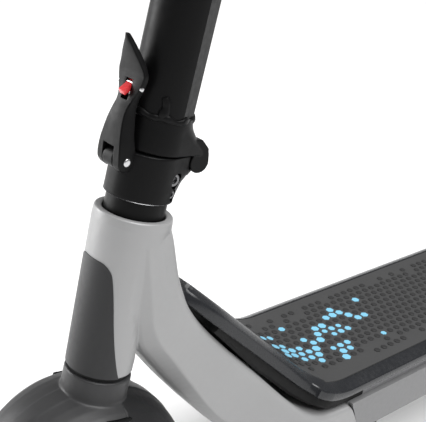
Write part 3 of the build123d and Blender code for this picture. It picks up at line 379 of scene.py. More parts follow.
def neck_ring(t):
    """One outline round the neck, from the top's middle down the left side and back up."""
    tx, tz, ty, cx, cz, cy, bx, bz, by, bulge, crown = through(NECK, t)
    top, crease, under = level(tx, ty, tz), level(cx, cy, cz), level(bx, by, bz)
    middle = (top + crease) / 2 + LEFT * bulge * MM
    top_mid = level(tx, 0, tz) + (top - crease).normalized() * crown * MM
    low_mid = level(bx, 0, bz)
    half = [top_mid, top_mid * 0.45 + top * 0.55 + (top_mid - level(tx, 0, tz)) * 0.3]
    half += rounded_corner(half[-1], top, middle, 9 * MM, 6)
    half.append(middle)
    half += rounded_corner(middle, crease, under, 1.2 * MM, 2)
    half += rounded_corner(crease, under, low_mid, 6 * MM, 3)
    half.append(low_mid)
    return half + mirrored(half[1:-1])


tube_profile = [(0.1, HEAD_LOW), (HEAD_LOW_R - 1.2, HEAD_LOW), (HEAD_LOW_R, HEAD_LOW + 1.2)]
for k in range(1, TAPER_STEPS):
    share = k / TAPER_STEPS
    tube_profile.append((lerp(HEAD_LOW_R, HEAD_TOP_R, share),
                         lerp(HEAD_LOW, TAPER_TOP, share)))
tube_profile += [(HEAD_TOP_R, HEAD_TOP - 8), (HEAD_TOP_R - 0.4, HEAD_TOP - 3),
                 (HEAD_TOP_R - 0.8, HEAD_TOP - 0.8), (HEAD_TOP_R - 1.8, HEAD_TOP),
                 (RIM_BORE + 1.2, HEAD_TOP), (RIM_BORE, HEAD_TOP - 1.2),
                 (RIM_BORE, RIM_DEPTH), (0.1, RIM_DEPTH)]
# Each side of the tube has a shallow flat beside the neck: s, where it starts and where it
# ends, in degrees from straight ahead.
SIDE_FLAT = [(-20, 78, 80), (-36, 75, 84), (-62, 73, 97), (-80, 73, 109), (-96, 79, 121),
             (-110, 89, 134), (-124, 100, 146), (-142, 119, 152), (-165.4, 140, 154)]
FLAT_DEPTH = 1.15  # times the depth of a true flat between those two places


def flat_at(s):
    """Start and end of the side flat at s."""
    if s >= SIDE_FLAT[0][0]:
        return SIDE_FLAT[0][1:]
    for low, high in zip(SIDE_FLAT[1:], SIDE_FLAT):
        if s >= low[0]:
            t = (s - low[0]) / (high[0] - low[0])
            return lerp(low[1], high[1], t), lerp(low[2], high[2], t)
    return SIDE_FLAT[-1][1:]


tube_verts, tube_faces = lathe(tube_profile, SEAM, UP, AHEAD, 180)
for v in tube_verts:
    s = (v - SEAM).dot(UP) / MM
    e, y = (v - SEAM).dot(AHEAD), (v - SEAM).dot(LEFT)
    first, last = flat_at(s)
    turn = abs(math.degrees(math.atan2(y, e)))
    if first < turn < last and math.hypot(e, y) > (RIM_BORE + 1.5) * MM:
        share = math.cos(math.radians((last - first) / 2))
        share /= math.cos(math.radians(turn - (first + last) / 2))
        v -= (AHEAD * e + LEFT * y) * (1 - share) * FLAT_DEPTH
add_solid(tube_verts, tube_faces,
          loft([neck_ring(k / 5) for k in range(5 * (len(NECK) - 1) + 1)]))
place(rounded(mesh_object("neck_casting", tube_verts, tube_faces), 0.8, 2), "frame",
      "silver_casting", ["frame_casting"], 60)

# The dark panel wrapped round the head tube's front: s and how far round it reaches, degrees.
PANEL = [(-57.5, 10), (-58, 22), (-60, 30), (-63, 36), (-67, 40.5), (-78, 46), (-96, 53),
         (-115, 60), (-134, 68.5), (-149, 77), (-159, 84), (-164.9, 89)]


def head_radius(s):
    """The head tube's radius, without its side flats."""
    return lerp(HEAD_LOW_R, HEAD_TOP_R, min(1, (s - HEAD_LOW) / (TAPER_TOP - HEAD_LOW)))


panel_rings = []
for k in range(4 * (len(PANEL) - 1) + 1):
    s, reach = through(PANEL, k / 4)
    ring = []
    for lift, order in ((0.7, 1), (-0.6, -1)):
        for j in range(41)[::order]:
            a = math.radians(reach * (j / 20 - 1))
            out = AHEAD * math.cos(a) + LEFT * math.sin(a)
            ring.append(at(0, s) + out * (head_radius(s) + lift) * MM)
    panel_rings.append(ring)
piece("head_panel", *loft(panel_rings), "frame", "badge_dark", ["head_badge"])

# ---------------------------------------------------------------------------
# Deck: the cover with its bevel, the mat with raised hexagons, the upturned tongue
# ---------------------------------------------------------------------------
deck_low, deck_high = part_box("deck_mat")
DECK_Z = (deck_low.z - SEAM.z) / MM + 2.0
MAT_REAR = (deck_low.x - SEAM.x) / MM
MAT_HALF = deck_high.y / MM
COVER_REAR = (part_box("deck_cover")[0].x - SEAM.x) / MM
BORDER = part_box("deck_cover")[1].y / MM - MAT_HALF
CURL_X, CURL_R, CURL_END = -240.0, 84.0, 42.9
CURL_LEN = CURL_R * math.radians(CURL_END)
FRONT_X, TIP_X, TIP_ROUND = -206.0, -61.0, 34.0
# The mat narrows over TAPER_LEN ahead of FRONT_X. CORNERs are the rear corners' radii.
TAPER_LEN, TAPER_IN, TIP_BORDER = 134.0, 46.5, 10.5
MAT_CORNER, COVER_CORNER = 18, 26
COVER_DEPTH = 17.0


def along_deck(u):
    """x, z and slope of the deck's surface at this length forward of the curl's start."""
    if u <= 0:
        return CURL_X + u, DECK_Z, 0.0
    if u < CURL_LEN:
        a = u / CURL_R
        return CURL_X + CURL_R * math.sin(a), DECK_Z + CURL_R * (1 - math.cos(a)), a
    a = math.radians(CURL_END)
    more = u - CURL_LEN
    return (CURL_X + CURL_R * math.sin(a) + more * math.cos(a),
            DECK_Z + CURL_R * (1 - math.cos(a)) + more * math.sin(a), a)


def length_at(x):
    """The length along the deck at which it is above x."""
    if x <= CURL_X:
        return x - CURL_X
    end_x = CURL_X + CURL_R * math.sin(math.radians(CURL_END))
    if x < end_x:
        return CURL_R * math.asin((x - CURL_X) / CURL_R)
    return CURL_LEN + (x - end_x) / math.cos(math.radians(CURL_END))


def deck_point(u, y, rise):
    """A point this far along the deck, to the left and above its surface."""
    x, z, a = along_deck(u)
    return level(x - math.sin(a) * rise, y, z + math.cos(a) * rise)


def mat_half(x):
    """Half the mat's width above x: straight, rounded at the rear, a narrowing tongue ahead."""
    half = MAT_HALF
    if x > FRONT_X:
        half = MAT_HALF - TAPER_IN * min(1.0, (x - FRONT_X) / TAPER_LEN) ** 0.42
    if x > TIP_X - TIP_ROUND:
        half *= math.sqrt(max(0.05, 1 - ((x - TIP_X + TIP_ROUND) / (TIP_ROUND + 1.5)) ** 2.4))
    behind = x - MAT_REAR
    if behind < MAT_CORNER:
        half = MAT_HALF - MAT_CORNER
        half += math.sqrt(max(0, MAT_CORNER ** 2 - (MAT_CORNER - behind) ** 2))
    return half


def border_at(x):
    """Width of the cover's border outside the mat."""
    share = min(1.0, max(0.0, (x - FRONT_X) / TAPER_LEN))
    return lerp(BORDER, TIP_BORDER, share ** 0.6)


def cover_half(x):
    """Half the cover's width above x."""
    half = mat_half(max(x, MAT_REAR + MAT_CORNER)) + border_at(x)
    behind = x - COVER_REAR
    if behind < COVER_CORNER:
        half -= COVER_CORNER
        half += math.sqrt(max(0, COVER_CORNER ** 2 - (COVER_CORNER - behind) ** 2))
    return half


def stations(rear, front):
    """x places along the deck, close together where the outline turns."""
    xs = [rear + d for d in (0, 0.6, 2, 4, 7, 11, 15, 18, 22, 26, 34)]
    x = rear + 60
    while x < FRONT_X - 50:
        xs.append(x)
        x += 24
    xs += [CURL_X + d for d in (-14, -6, 0, 6, 12, 18, 24, 29)]
    xs += [FRONT_X + d for d in (-5, -4, -3, -2, -1, 0, 0.3, 0.8, 1.6, 3, 5, 8, 11, 15, 20, 26, 33,
                                 41, 50, 60, 70, 82, 90, 96, 102, 108, 113, 118, 122, 125, 128,
                                 130, 134, 137, 140, 142, 143.5)]
    xs += [front - 3, front - 1, front]
    return sorted(set(x for x in xs if rear <= x <= front))


def deck_ring(x, profile):
    """An outline round the deck at x from (half width, rise) pairs, both sides."""
    half = mat_half(max(x, MAT_REAR + MAT_CORNER))
    slope = 0.0
    if x > MAT_REAR + 40:
        slope = (mat_half(min(x + 4, TIP_X)) - mat_half(min(x, TIP_X - 4) - 4)) / 8
    turn = math.hypot(1, slope)
    left = []
    for y, rise in profile:
        beyond = max(0.0, y - half)
        ahead, side = -slope / turn * beyond, beyond / turn
        left.append(deck_point(length_at(x + ahead), min(y, half) + side, rise))
    return left + mirrored(left)


cover_rings = []
for x in stations(COVER_REAR, TIP_X):
    m, c = mat_half(max(x, MAT_REAR)), cover_half(x)
    inside = MAT_REAR < x < TIP_X - 2.5
    c = max(c, 4.0)
    m = min(m, c - 1.5) if inside else c - 1.5
    f = (c - m) / BORDER
    floor = -2.2 if inside else -1.0
    cover_rings.append(deck_ring(x, [
        (m * 0.5, floor), (m + 0.4 * f, floor), (m + 0.55 * f, -0.7), (m + 1.2 * f, -0.35),
        (m + 2.2 * f, -0.55), (m + 6.5 * f, -2.5), (c - 2.6 * f, -5.0), (c - 1.0 * f, -6.0),
        (c - 0.25 * f, -7.2), (c, -9.0), (c - 0.4, -COVER_DEPTH + 3.0),
        (c - 1.2 * f, -COVER_DEPTH + 1.0), (c - 3.0 * f, -COVER_DEPTH),
        (c * 0.5, -COVER_DEPTH)]))
piece("deck_shell", *loft(cover_rings), "frame", "black_plastic", ["deck_cover"], 24,
      COVER_GLOSS)

mat_rings = []
for x in stations(MAT_REAR, TIP_X - 3):
    m = max(mat_half(x), 2.0)
    if x > TIP_X - 7:
        m -= 2.5 * (x - TIP_X + 7) / 4
    mat_rings.append(deck_ring(x, [(m * 0.5, 0.0), (m - 1.6, 0.0), (m - 0.5, -0.3),
                                   (m - 0.1, -1.0), (m - 0.1, -2.1), (m * 0.5, -2.1)]))
piece("deck_pad", *loft(mat_rings), "frame", "mat_rubber", ["deck_mat"], 30)

# Raised hexagons in a honeycomb. The plain ones have a darker colour that is painted shade, and
# some are in a pale blue that thins out towards the rear.
PITCH = 11.59
HEX_START = (-321.0, -24.2)
HEX_SIDES = 6
ROW_STEP = 0.866
random.seed(11)


def hexagon(u, y, across, height, round_over):
    """A six-sided stud on the mat, from bottom, shoulder and top rings."""
    rings = []
    for size, rise in ((across, -0.15), (across, height - round_over),
                       (across - round_over * 1.2, height)):
        turns = [math.radians(60 * k + 30) for k in range(HEX_SIDES)]
        rings.append([deck_point(u + size * math.cos(a), y + size * math.sin(a), rise)
                      for a in turns])
    return loft(rings)


# Blue patches: middle (length along the deck, y), radius and how full it is.
BLUE = [(22, 10, 20, 0.8), (34, -18, 16, 0.75), (-6, 20, 20, 0.8), (-20, 2, 17, 0.85),
        (-40, 24, 16, 0.8), (-52, -6, 17, 0.8), (-74, 8, 12, 0.75), (-78, -26, 14, 0.75),
        (-100, 32, 10, 0.8), (-112, -6, 15, 0.7), (-134, -36, 9, 0.8), (-30, 48, 9, 0.7),
        (4, -34, 13, 0.65)]
groups = {"plain": ([], []), "blue": ([], [])}
for row in range(-5, 11):
    for col in range(-40, 26):
        x = HEX_START[0] + PITCH * (col + 0.5 * row)
        y = HEX_START[1] + PITCH * ROW_STEP * row
        u = x - CURL_X
        px = along_deck(u)[0]
        limit = min(mat_half(px) - 9, 57)
        roll = random.random()
        edge = abs(y) / max(limit, 1)
        if edge > 1 or px < MAT_REAR + 24 or u > 74:
            continue
        if edge > 0.72 and roll < (edge - 0.72) * 2.6:
            continue
        blue = False
        for bu, by, radius, fill in BLUE:
            reach = math.hypot((u - bu) * 0.8, y - by)
            if reach < radius and random.random() < fill * (1.3 - reach / radius):
                blue = True
        if blue:
            wide = random.choice((3.7, 4.3, 4.9, 5.3))
            add_solid(*groups["blue"], hexagon(u, y, wide, 0.5, 0.2))
        else:
            add_solid(*groups["plain"], hexagon(u, y, 3.9, 1.3, 0.7))
for name, kind, material in (("mat_studs", "plain", STUD_PAINTED_SHADE), ("mat_studs_blue", "blue", CYAN)):
    piece(name, *groups[kind], "frame", "mat_rubber", (), 30, material)

# Under the tongue: a black filler on the neck that takes the place of the bracket in it. Its black
# is painted shade that fills the shadowed recess under the tongue.
shade_filler_rings = []
for x in [-262, -244] + list(range(-236, -88, 8)):
    c = cover_half(x) - (5.0 if x < FRONT_X else 4.0)
    depth = 26.0 if x < -150 else lerp(26.0, 20.0, (x + 150) / 60)
    shade_filler_rings.append(deck_ring(x, [(c * 0.5, -COVER_DEPTH + 1), (c - 1, -COVER_DEPTH + 1),
                                      (c, -COVER_DEPTH), (c - 0.5, -depth), (c - 3, -depth - 3),
                                      (c * 0.5, -depth - 3)]))
piece("tongue_shade_filler", *loft(shade_filler_rings), "frame", "black_rubber", ["tongue_bracket"], 30)

# ---------------------------------------------------------------------------
# Folding joint, stem and latch
# ---------------------------------------------------------------------------
UPPER = [  # s, rear end, rear half width, front end, corner
    (42.3, -51.0, 21.8, 25.0, 9.0), (44, -50.6, 22.2, 25.4, 10.0), (48, -47.0, 23.6, 25.3, 14.0),
    (53, -42.2, 25.4, 25.0, 19.0), (59, -37.6, 27.0, 24.6, 23.0), (66, -34.0, 28.0, 24.1, 27.0),
    (74, -32.6, 28.3, 24.0, 28.2),
]
BLOCK_STEPS = 96


def block_ring(s, rear, half, front, corner, wide=0.0):
    """A rounded outline square to the stem, as of a band drawn round three discs."""
    wide = wide or max(half, 29.4 - max(0, s - 50) * 0.045)
    corner = min(corner, half - 0.1)
    discs = [(front - wide, 0, wide), (rear + corner, half - corner, corner),
             (rear + corner, corner - half, corner)]
    ring = []
    for k in range(BLOCK_STEPS):
        a = 2 * math.pi * (k + 0.5) / BLOCK_STEPS
        across, aside = math.cos(a), math.sin(a)
        e, y, r = max(discs, key=lambda d: d[0] * across + d[1] * aside + d[2])
        ring.append(at(e + r * across, s, y + r * aside))
    return ring


upper_rings = [block_ring(*through(UPPER, k / 4)) for k in range(4 * (len(UPPER) - 1) + 1)]
upper_verts, upper_faces = loft(upper_rings)


HINGE_E, HINGE_S, HINGE_R = -42.0, 36.0, 10.2
HOOK = arc(HINGE_E, HINGE_S, HINGE_R, range(30, -191, -10)) + [(-49, 48.5), (-40, 56), (-30, 56)]
for side in (1, -1):
    add_solid(upper_verts, upper_faces, slab(HOOK, side * 12.4, side * 21.8))
place(rounded(mesh_object("hinge_upper", upper_verts, upper_faces), 0.7, 6), "stem",
      "black_metal", ["hinge_block"], 50)
LOWER = [  # s, rear end, rear corner
    (0.4, -29.8, 29.4), (1.2, -30.2, 29.2), (4, -32.0, 26.5), (8, -34.6, 23.0), (14, -38.0, 20.0),
    (21, -41.6, 17.5), (28, -45.0, 15.5), (34, -46.6, 15.0), (40, -46.0, 15.0), (41.2, -44.8, 14.5),
]
LOWER_HALF, LOWER_R = 19.6, 30.2
lower_rings = []
for k in range(4 * (len(LOWER) - 1) + 1):
    s, rear, corner = through(LOWER, k / 4)
    ease = max(0.0, 1 - s) * 0.5 + max(0.0, s - 40.2) * 0.6
    lower_rings.append(block_ring(s, rear, max(LOWER_HALF, corner + 0.2), LOWER_R - ease, corner,
                                  LOWER_R - ease))
lower_verts, lower_faces = loft(lower_rings)
BOSS = [(-26, 20), (-41, 20), (-45.6, 26), (-50.5, 30), (-51.6, 36),
        (-49.5, 41.5), (-44, 45), (-38, 44.8), (-33, 41.2), (-26, 41)]
add_solid(lower_verts, lower_faces, slab(BOSS, -11.6, 11.6))
LUG_E, LUG_S, LUG_R, LUG_HALF = 32.0, 33.0, 9.0, 7.0
LUG = arc(LUG_E, LUG_S, LUG_R, range(-90, 91, 10)) + [(10, LUG_S + LUG_R), (10, LUG_S - LUG_R - 10)]
add_solid(lower_verts, lower_faces, slab(LUG, -LUG_HALF, LUG_HALF))
lower = rounded(mesh_object("hinge_lower_blank", lower_verts, lower_faces), 0.7, 6).data

# Room for the upper half's knuckles, and the seats of the two clamp bolts.
BOLTS = [(-17.6, 19.6, 6.2), (-17.6, 6.6, 4.2)]
SEAT_Y = 17.4
seats = []
for side in (1, -1):
    seats.append(lathe([(0.01, 0), (HINGE_R + 0.7, 0), (HINGE_R + 0.7, 14), (0.01, 14)],
                       at(HINGE_E, HINGE_S, side * 12.0), LEFT * side, AHEAD, 64))
    for e, s, r in BOLTS:
        seats.append(lathe([(0.01, 0), (r + 1.3, 0), (r + 1.3, 16), (0.01, 16)],
                           at(e, s, side * SEAT_Y), LEFT * side, AHEAD, 40))
ring_profile = [(29.4, -0.1), (30.1, 0.0), (30.35, 0.35), (30.1, 0.7), (29.4, 0.8)]
lower_shape = ([v.co for v in lower.vertices], [tuple(f.vertices) for f in lower.polygons])
piece("seam_ring", *lathe(ring_profile, SEAM, UP, AHEAD, 120), "fork", "black_metal", (), 60,
      DARK_STEEL)

STEM_OFFSET, STEM_R = -4.2, 28.0
FLAT_TURN, FLAT_HALF = 117.5, 22.5
RIPPLE, LUMPS = 0.16, 0.7


def stem_radius(turn):
    """The stem's radius in this direction, in degrees from straight ahead."""
    off = min(abs(abs((turn + 180) % 360 - 180) - FLAT_TURN), 90)
    if off < FLAT_HALF:
        return STEM_R * math.cos(math.radians(FLAT_HALF)) / math.cos(math.radians(off))
    return STEM_R


def bead(name, path, size):
    """An uneven weld bead on the stem along a path of (point, outward) pairs."""
    rings = []
    for i, (p, out) in enumerate(path):
        ahead = (path[min(i + 1, len(path) - 1)][0] - path[max(i - 1, 0)][0]).normalized()
        side = ahead.cross(out).normalized()
        wave = 1 + RIPPLE * math.sin(i * 0.42) + LUMPS * noise.noise(p * 110)
        ring = []
        for k in range(10):
            a = 2 * math.pi * k / 10
            ring.append(p + (out * math.sin(a) * 0.6 + side * math.cos(a)) * size * wave * MM)
        rings.append(ring)
    piece(name, *loft(rings), "stem", "black_metal", (), 60)


ring_path = []
for k in range(181):
    turn = 2.0 * k
    a = math.radians(turn)
    out = AHEAD * math.cos(a) + LEFT * math.sin(a)
    wobble = 1.6 * math.sin(3 * a + 1) * math.sin(5 * a)
    ring_path.append((at(STEM_OFFSET, 73.0 + wobble) + out * (stem_radius(turn) + 0.5) * MM, out))
bead("stem_weld", ring_path, 2.7)
tongue_path = []
for k in range(25):
    turn = math.radians(52.0 + 5.0 * math.sin(math.pi * k / 24))
    out = AHEAD * math.cos(turn) + LEFT * math.sin(turn)
    tongue_path.append((at(STEM_OFFSET, 74.0 + 17.0 * k / 24) + out * (STEM_R + 0.2) * MM, out))
bead("stem_weld_tongue", tongue_path, 2.9)

# The latch lever: s, front, back and half width up its length.
LEVER = [
    (23.4, 33.6, 30.5, 14.4), (25.2, 36.6, 27.0, 15.2), (28.5, 39.2, 24.0, 15.9),
    (33, 40.4, 22.9, 16.1), (40, 41.4, 24.0, 15.4), (47, 41.9, 26.0, 14.4),
    (54, 42.0, 27.4, 13.0), (62, 41.7, 28.0, 11.6), (69, 40.8, 28.4, 10.4),
    (75, 39.3, 28.7, 9.7), (80, 37.3, 28.8, 9.8), (85, 35.8, 28.9, 11.2),
    (90, 35.0, 29.0, 13.4), (96, 34.7, 29.2, 15.8), (101, 34.8, 29.6, 17.3),
    (104, 35.0, 30.0, 17.8), (107, 35.6, 30.4, 17.2), (113, 38.0, 31.8, 14.0),
    (120, 41.6, 35.0, 10.0), (128, 45.3, 39.6, 5.2), (134, 47.7, 43.8, 1.8),
    (135, 48.0, 45.0, 1.0),
]
lever_rings = []
for k in range(3 * (len(LEVER) - 1) + 1):
    s, front, back, half = through(LEVER, k / 3)
    half = max(half, 0.8)
    edge = min(1.1, half * 0.3, (front - back) * 0.3)
    left = [at(e, s, y) for e, y in (
        (front + 0.5, 0), (front + 0.2, half * 0.55), (front - 0.15, half - edge),
        (front - edge, half), ((front + back) / 2, half), (back + 0.8, half),
        (back, half - 0.8))]
    lever_rings.append(left + mirrored(left[1:]))


def block(e0, e1, s0, s1, y0, y1):
    """A box in steering coordinates."""
    verts = [at(e, s, y) for e in (e0, e1) for s in (s0, s1) for y in (y0, y1)]
    faces = [(0, 1, 3, 2), (4, 6, 7, 5), (0, 4, 5, 1), (2, 3, 7, 6), (0, 2, 6, 4), (1, 5, 7, 3)]
    return verts, faces


def raw(name, verts, faces):
    """A solid in the scene for boolean cuts, with its points as they are."""
    obj = mesh_object(name, verts, faces)
    repair(obj.data, weld=False)
    bpy.context.scene.collection.objects.link(obj)
    return obj


def carve(name, solid, cutters, width=0.0):
    """A piece made by cutting solids out of another, then bevelling its sharp edges."""
    blank = raw("blank", *solid)
    tools = [raw("cutter", *c) for c in cutters]
    for tool in tools:
        cut = blank.modifiers.new("cut", "BOOLEAN")
        cut.operation = "DIFFERENCE"
        cut.solver = "EXACT"
        cut.object = tool
    if width:
        ease = blank.modifiers.new("ease", "BEVEL")
        ease.width = width * MM
        ease.segments = 2
        ease.limit_method = "ANGLE"
        ease.angle_limit = math.radians(38)
    graph = bpy.context.evaluated_depsgraph_get()
    made = bpy.data.meshes.new_from_object(blank.evaluated_get(graph))
    for used in tools + [blank]:
        bpy.data.objects.remove(used)
    made.name = name
    return bpy.data.objects.new(name, made)


place(carve("hinge_lower", lower_shape, seats), "fork", "black_metal", ["lower_clamp"], 42)
head_verts, head_faces = [], []
for side in (1, -1):
    for e, s, r in BOLTS:
        head = [(0.01, -3), (r, -3), (r, 3.6), (r - 0.7, 4.3), (r * 0.55, 4.3), (r * 0.5, 2.0),
                (0.01, 1.8)]
        add_solid(head_verts, head_faces,
                  lathe(head, at(e, s, side * SEAT_Y), LEFT * side, AHEAD, 36))
piece("clamp_bolt_heads", head_verts, head_faces, "fork", "brushed_steel", ["clamp_bolts"], 30,
      DARK_STEEL)

LUG_CUT, CATCH_CUT = 7.6, 4.2
lever_slots = [block(10, 60, 15, 44.0, -LUG_CUT, LUG_CUT),
               block(20, 60, 82, 99.2, -CATCH_CUT, CATCH_CUT)]
place(carve("lever", loft(lever_rings), lever_slots, 0.5), "latch_lever", "black_metal",
      ["latch_lever"], 30)

CATCH = [(29, 98.6), (32, 98.6), (41.5, 89.2), (39, 85.8), (32, 91.5), (29, 91.5)]
place(carve("catch_button", slab(CATCH, -3.6, 3.6), [], 0.25), "safety_catch", "red_plastic",
      ["safety_catch"], 30)


def pin_head(name, e, s, y, radius, body, side):
    """A domed round pin end that faces left or right."""
    profile = [(0.01, 0), (radius, 0), (radius, 0.7), (radius * 0.85, 1.2), (radius * 0.5, 1.45),
               (0.01, 1.5)]
    piece(name, *lathe(profile, at(e, s, y), LEFT * side, AHEAD, 28), body, "bright_steel")


for side in (1, -1):
    tag = "left" if side > 0 else "right"
    pin_head(f"lever_pin_end_{tag}", 32.0, 33.0, side * 16.0, 3.6, "fork", side)
    pin_head(f"catch_pin_end_{tag}", 32.4, 94.0, side * 14.6, 1.9, "latch_lever", side)

# ---------------------------------------------------------------------------
# Fork crown, fenders, wheels
# ---------------------------------------------------------------------------
CROWN_R, CROWN_TOP = 31.0, -169.4
WHEEL = (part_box("front_tyre")[0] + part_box("front_tyre")[1]) / 2
FENDER = [(0, 121.0), (8, 120.9), (9.5, 120.2), (20, 118.6), (30, 116), (40, 112), (47.5, 106),
          (51, 99), (51.2, 88), (48.2, 88), (48, 98), (45.3, 104), (38.5, 109.3), (29, 112.9),
          (8, 117.4)]


def fender_ring(turn, grow=0.0):
    """The fender's section at this angle up from straight ahead; it narrows forward."""
    a = math.radians(turn)
    out = Vector((math.cos(a), 0, math.sin(a)))
    wide = 1.0
    if turn < 96:
        wide = 0.46 + 0.54 * math.sin(math.radians(90 * max(0, turn - 18) / 78)) ** 1.2
    left = [WHEEL + out * (r + grow) * MM + LEFT * y * wide * MM for y, r in FENDER]
    return left + mirrored(left[1:])


def fender_part(name, start, end, slot, solids=(), grow=0.0, stands_for=()):
    """The fender between two angles up from straight ahead, joined to these solids."""
    steps = max(6, int((end - start) / 2))
    verts, faces = loft([fender_ring(lerp(start, end, k / steps), grow)
                         for k in range(steps + 1)])
    for solid in solids:
        add_solid(verts, faces, solid)
    place(rounded(mesh_object(name, verts, faces), 1.1, 5), "fork", slot, stands_for, 60)


crown_profile = [(15, -212), (15, CROWN_TOP), (CROWN_R - 1.2, CROWN_TOP),
                 (CROWN_R, CROWN_TOP - 1.2), (CROWN_R, CROWN_TOP - 20),
                 (CROWN_R + 0.8, CROWN_TOP - 25), (CROWN_R + 3, CROWN_TOP - 30),
                 (CROWN_R + 7, CROWN_TOP - 34), (CROWN_R + 7, -212)]
fender_part("fender_front", 20, 112, "grey_plastic",
            [lathe(crown_profile, SEAM, UP, AHEAD, 96)], stands_for=["front_fender"])
# The fender's rear part is in black plastic, as painted shade of that part, which lies in shadow
# under the neck.
fender_part("fender_front_rear_painted_shade", 106, 158, "black_plastic", grow=0.5)

LEG = [(-14, -204), (14, -204), (14, -216), (11.5, -288), (13.5, -298), (13.5, -315),
       (9, -322), (-9, -322), (-13.5, -315), (-13.5, -298), (-11.5, -288), (-14, -216)]
leg_verts, leg_faces = [], []
for side in (1, -1):
    add_solid(leg_verts, leg_faces, slab(LEG, side * 38, side * 47))
add_solid(leg_verts, leg_faces, block(-14, 14, -207, -198.5, -46.5, 46.5))
place(rounded(mesh_object("fork_legs", leg_verts, leg_faces), 1.0, 4), "fork", "black_metal",
      ["fork"], 50)

# Castings and mouldings that keep their CAD shape, with rounder edges.
soften("fender_rear", "rear_fender", "frame", 1.3, 4)
soften("rear_mount", "rear_casting", "frame", 1.5, 4)
soften("bar_clamp_cast", "bar_clamp", "stem", 0.9, 5)
soften("brake_perch_cast", "brake_perch", "stem", 0.7, 4)
soften("brake_lever_cast", "brake_lever", "brake_lever", 0.6, 5)
soften("throttle_paddle", "thumb_throttle", "thumb_throttle", 0.6, 4)
soften("throttle_body", "throttle_housing", "stem", 0.6, 4)
soften("caliper_body", "brake_caliper", "frame", 0.8, 4)
soften("kickstand_foot", "kickstand_leg", "kickstand", 0.9, 4)
soften("kickstand_mount", "kickstand_bracket", "frame", 0.8, 4)


def wheel_size(node):
    """A wheel's centre in metres, and its radius and width in millimetres."""
    low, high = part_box(node)
    return (low + high) / 2, (high.z - low.z) / 2 / MM, (high.y - low.y) / MM


TYRE_STEPS = 264


def tyre(name, node, body):
    """A tyre with a grooved tread: three zigzag grooves round it and slots at the shoulders."""
    centre, radius, width = wheel_size(node)
    half = width / 2
    inner = radius - 36.0
    section = [(inner, -half * 0.72), (inner + 3, -half * 0.8), (inner + 12, -half * 0.96),
               (inner + 20, -half), (radius - 9, -half * 0.93), (radius - 5, -half * 0.8),
               (radius - 3.6, -half * 0.7)]
    tread = [-0.66, -0.6, -0.5, -0.4, -0.34, -0.26, -0.2, -0.14, -0.06, 0.0]
    crown = [(radius - 3.2 * abs(t) ** 2 * 2.2, half * t) for t in tread]
    section += crown + [(r, -y) for r, y in crown[-2::-1]]
    section += [(r, -y) for r, y in section[:7][::-1]]
    rings = []
    for k in range(TYRE_STEPS):
        a = 2 * math.pi * k / TYRE_STEPS
        out = Vector((math.cos(a), 0, math.sin(a)))
        ring = []
        for r, y in section:
            t = y / half
            if abs(t) < 0.68 and r > radius - 6:
                zig = 0.05 * (1 if (k // 4) % 2 else -1)
                for groove in (-0.37, 0.0, 0.37):
                    if abs(t - groove - zig) < 0.075:
                        r -= 2.2
                if abs(t) > 0.42 and k % 12 < 2:
                    r -= 2.0
            elif 0.68 <= abs(t) < 0.85 and k % 12 < 2 and r > radius - 8:
                r -= 1.2
            ring.append(centre + out * r * MM + LEFT * y * MM)
        rings.append(ring)
    piece(name, *wrap(rings), body, "tyre", [node], 28)


tyre("tyre_front", "front_tyre", "front_wheel")
tyre("tyre_rear", "rear_tyre", "rear_wheel")

# The bolts round the hub motor's two covers.
HUB_BOLTS, HUB_BOLT_CIRCLE = 9, 44
hub_centre, _, hub_width = wheel_size("hub_motor_shell")
for side in (1, -1):
    tag = "left" if side > 0 else "right"
    verts, faces = [], []
    for k in range(HUB_BOLTS):
        a = 2 * math.pi * k / HUB_BOLTS
        out = Vector((math.cos(a), 0, math.sin(a)))
        centre = hub_centre + out * HUB_BOLT_CIRCLE * MM + LEFT * side * (hub_width / 2 - 0.3) * MM
        profile = [(0.01, 0), (3.2, 0), (3.2, 1.6), (2.6, 2.2), (1.6, 2.2), (1.5, 0.8), (0.01, 0.8)]
        add_solid(verts, faces, lathe(profile, centre, LEFT * side, out, 18))
    piece(f"hub_bolts_{tag}", verts, faces, "front_wheel", "bright_steel")

# ---------------------------------------------------------------------------
# Handlebar grips
# ---------------------------------------------------------------------------
grip_low, grip_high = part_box("grips")
BAR = Vector(((grip_low.x + grip_high.x) / 2, 0, (grip_low.z + grip_high.z) / 2))
GRIP_END = grip_high.y / MM
GRIP_LEN, GRIP_R, BAR_R = 118.0, 18.6, 15.9
for side in (1, -1):
    tag = "left" if side > 0 else "right"
    profile = [(BAR_R + 0.05, 0), (GRIP_R + 2.6, 0), (GRIP_R + 3, 0.6), (GRIP_R + 3, 3.6),
               (GRIP_R + 2.2, 4.6), (GRIP_R - 0.2, 6)]
    y = 8.0
    while y < GRIP_LEN - 8:
        profile += [(GRIP_R - 0.2, y), (GRIP_R + 0.3, y + 0.6), (GRIP_R + 0.3, y + 2.2),
                    (GRIP_R - 0.2, y + 2.8)]
        y += 4.2
    profile += [(GRIP_R, GRIP_LEN - 2), (GRIP_R, GRIP_LEN + 2.4), (GRIP_R - 1.4, GRIP_LEN + 4),
                (0.02, GRIP_LEN + 4), (0.02, GRIP_LEN), (BAR_R + 0.05, GRIP_LEN)]
    start = BAR + LEFT * side * (GRIP_END - GRIP_LEN - 4) * MM
    piece(f"grip_{tag}", *lathe(profile, start, LEFT * side, AHEAD, 60), "stem",
          "black_rubber", ["grips"] if side > 0 else (), 28)

# ---------------------------------------------------------------------------
# Floor, lights and camera
# ---------------------------------------------------------------------------
FLOOR = 14
floor = mesh_object("floor", [(-FLOOR, -FLOOR, 0), (FLOOR, -FLOOR, 0), (FLOOR, FLOOR, 0),
                              (-FLOOR, FLOOR, 0)], [(0, 1, 2, 3)])
bpy.context.scene.collection.objects.link(floor)
floor.data.materials.append(finish_material("floor", (0.9, 0.9, 0.9), 0.8, spec=0.1, grain=60,
                                            bump=0.01, mottle=0.004, blotch=0.6))

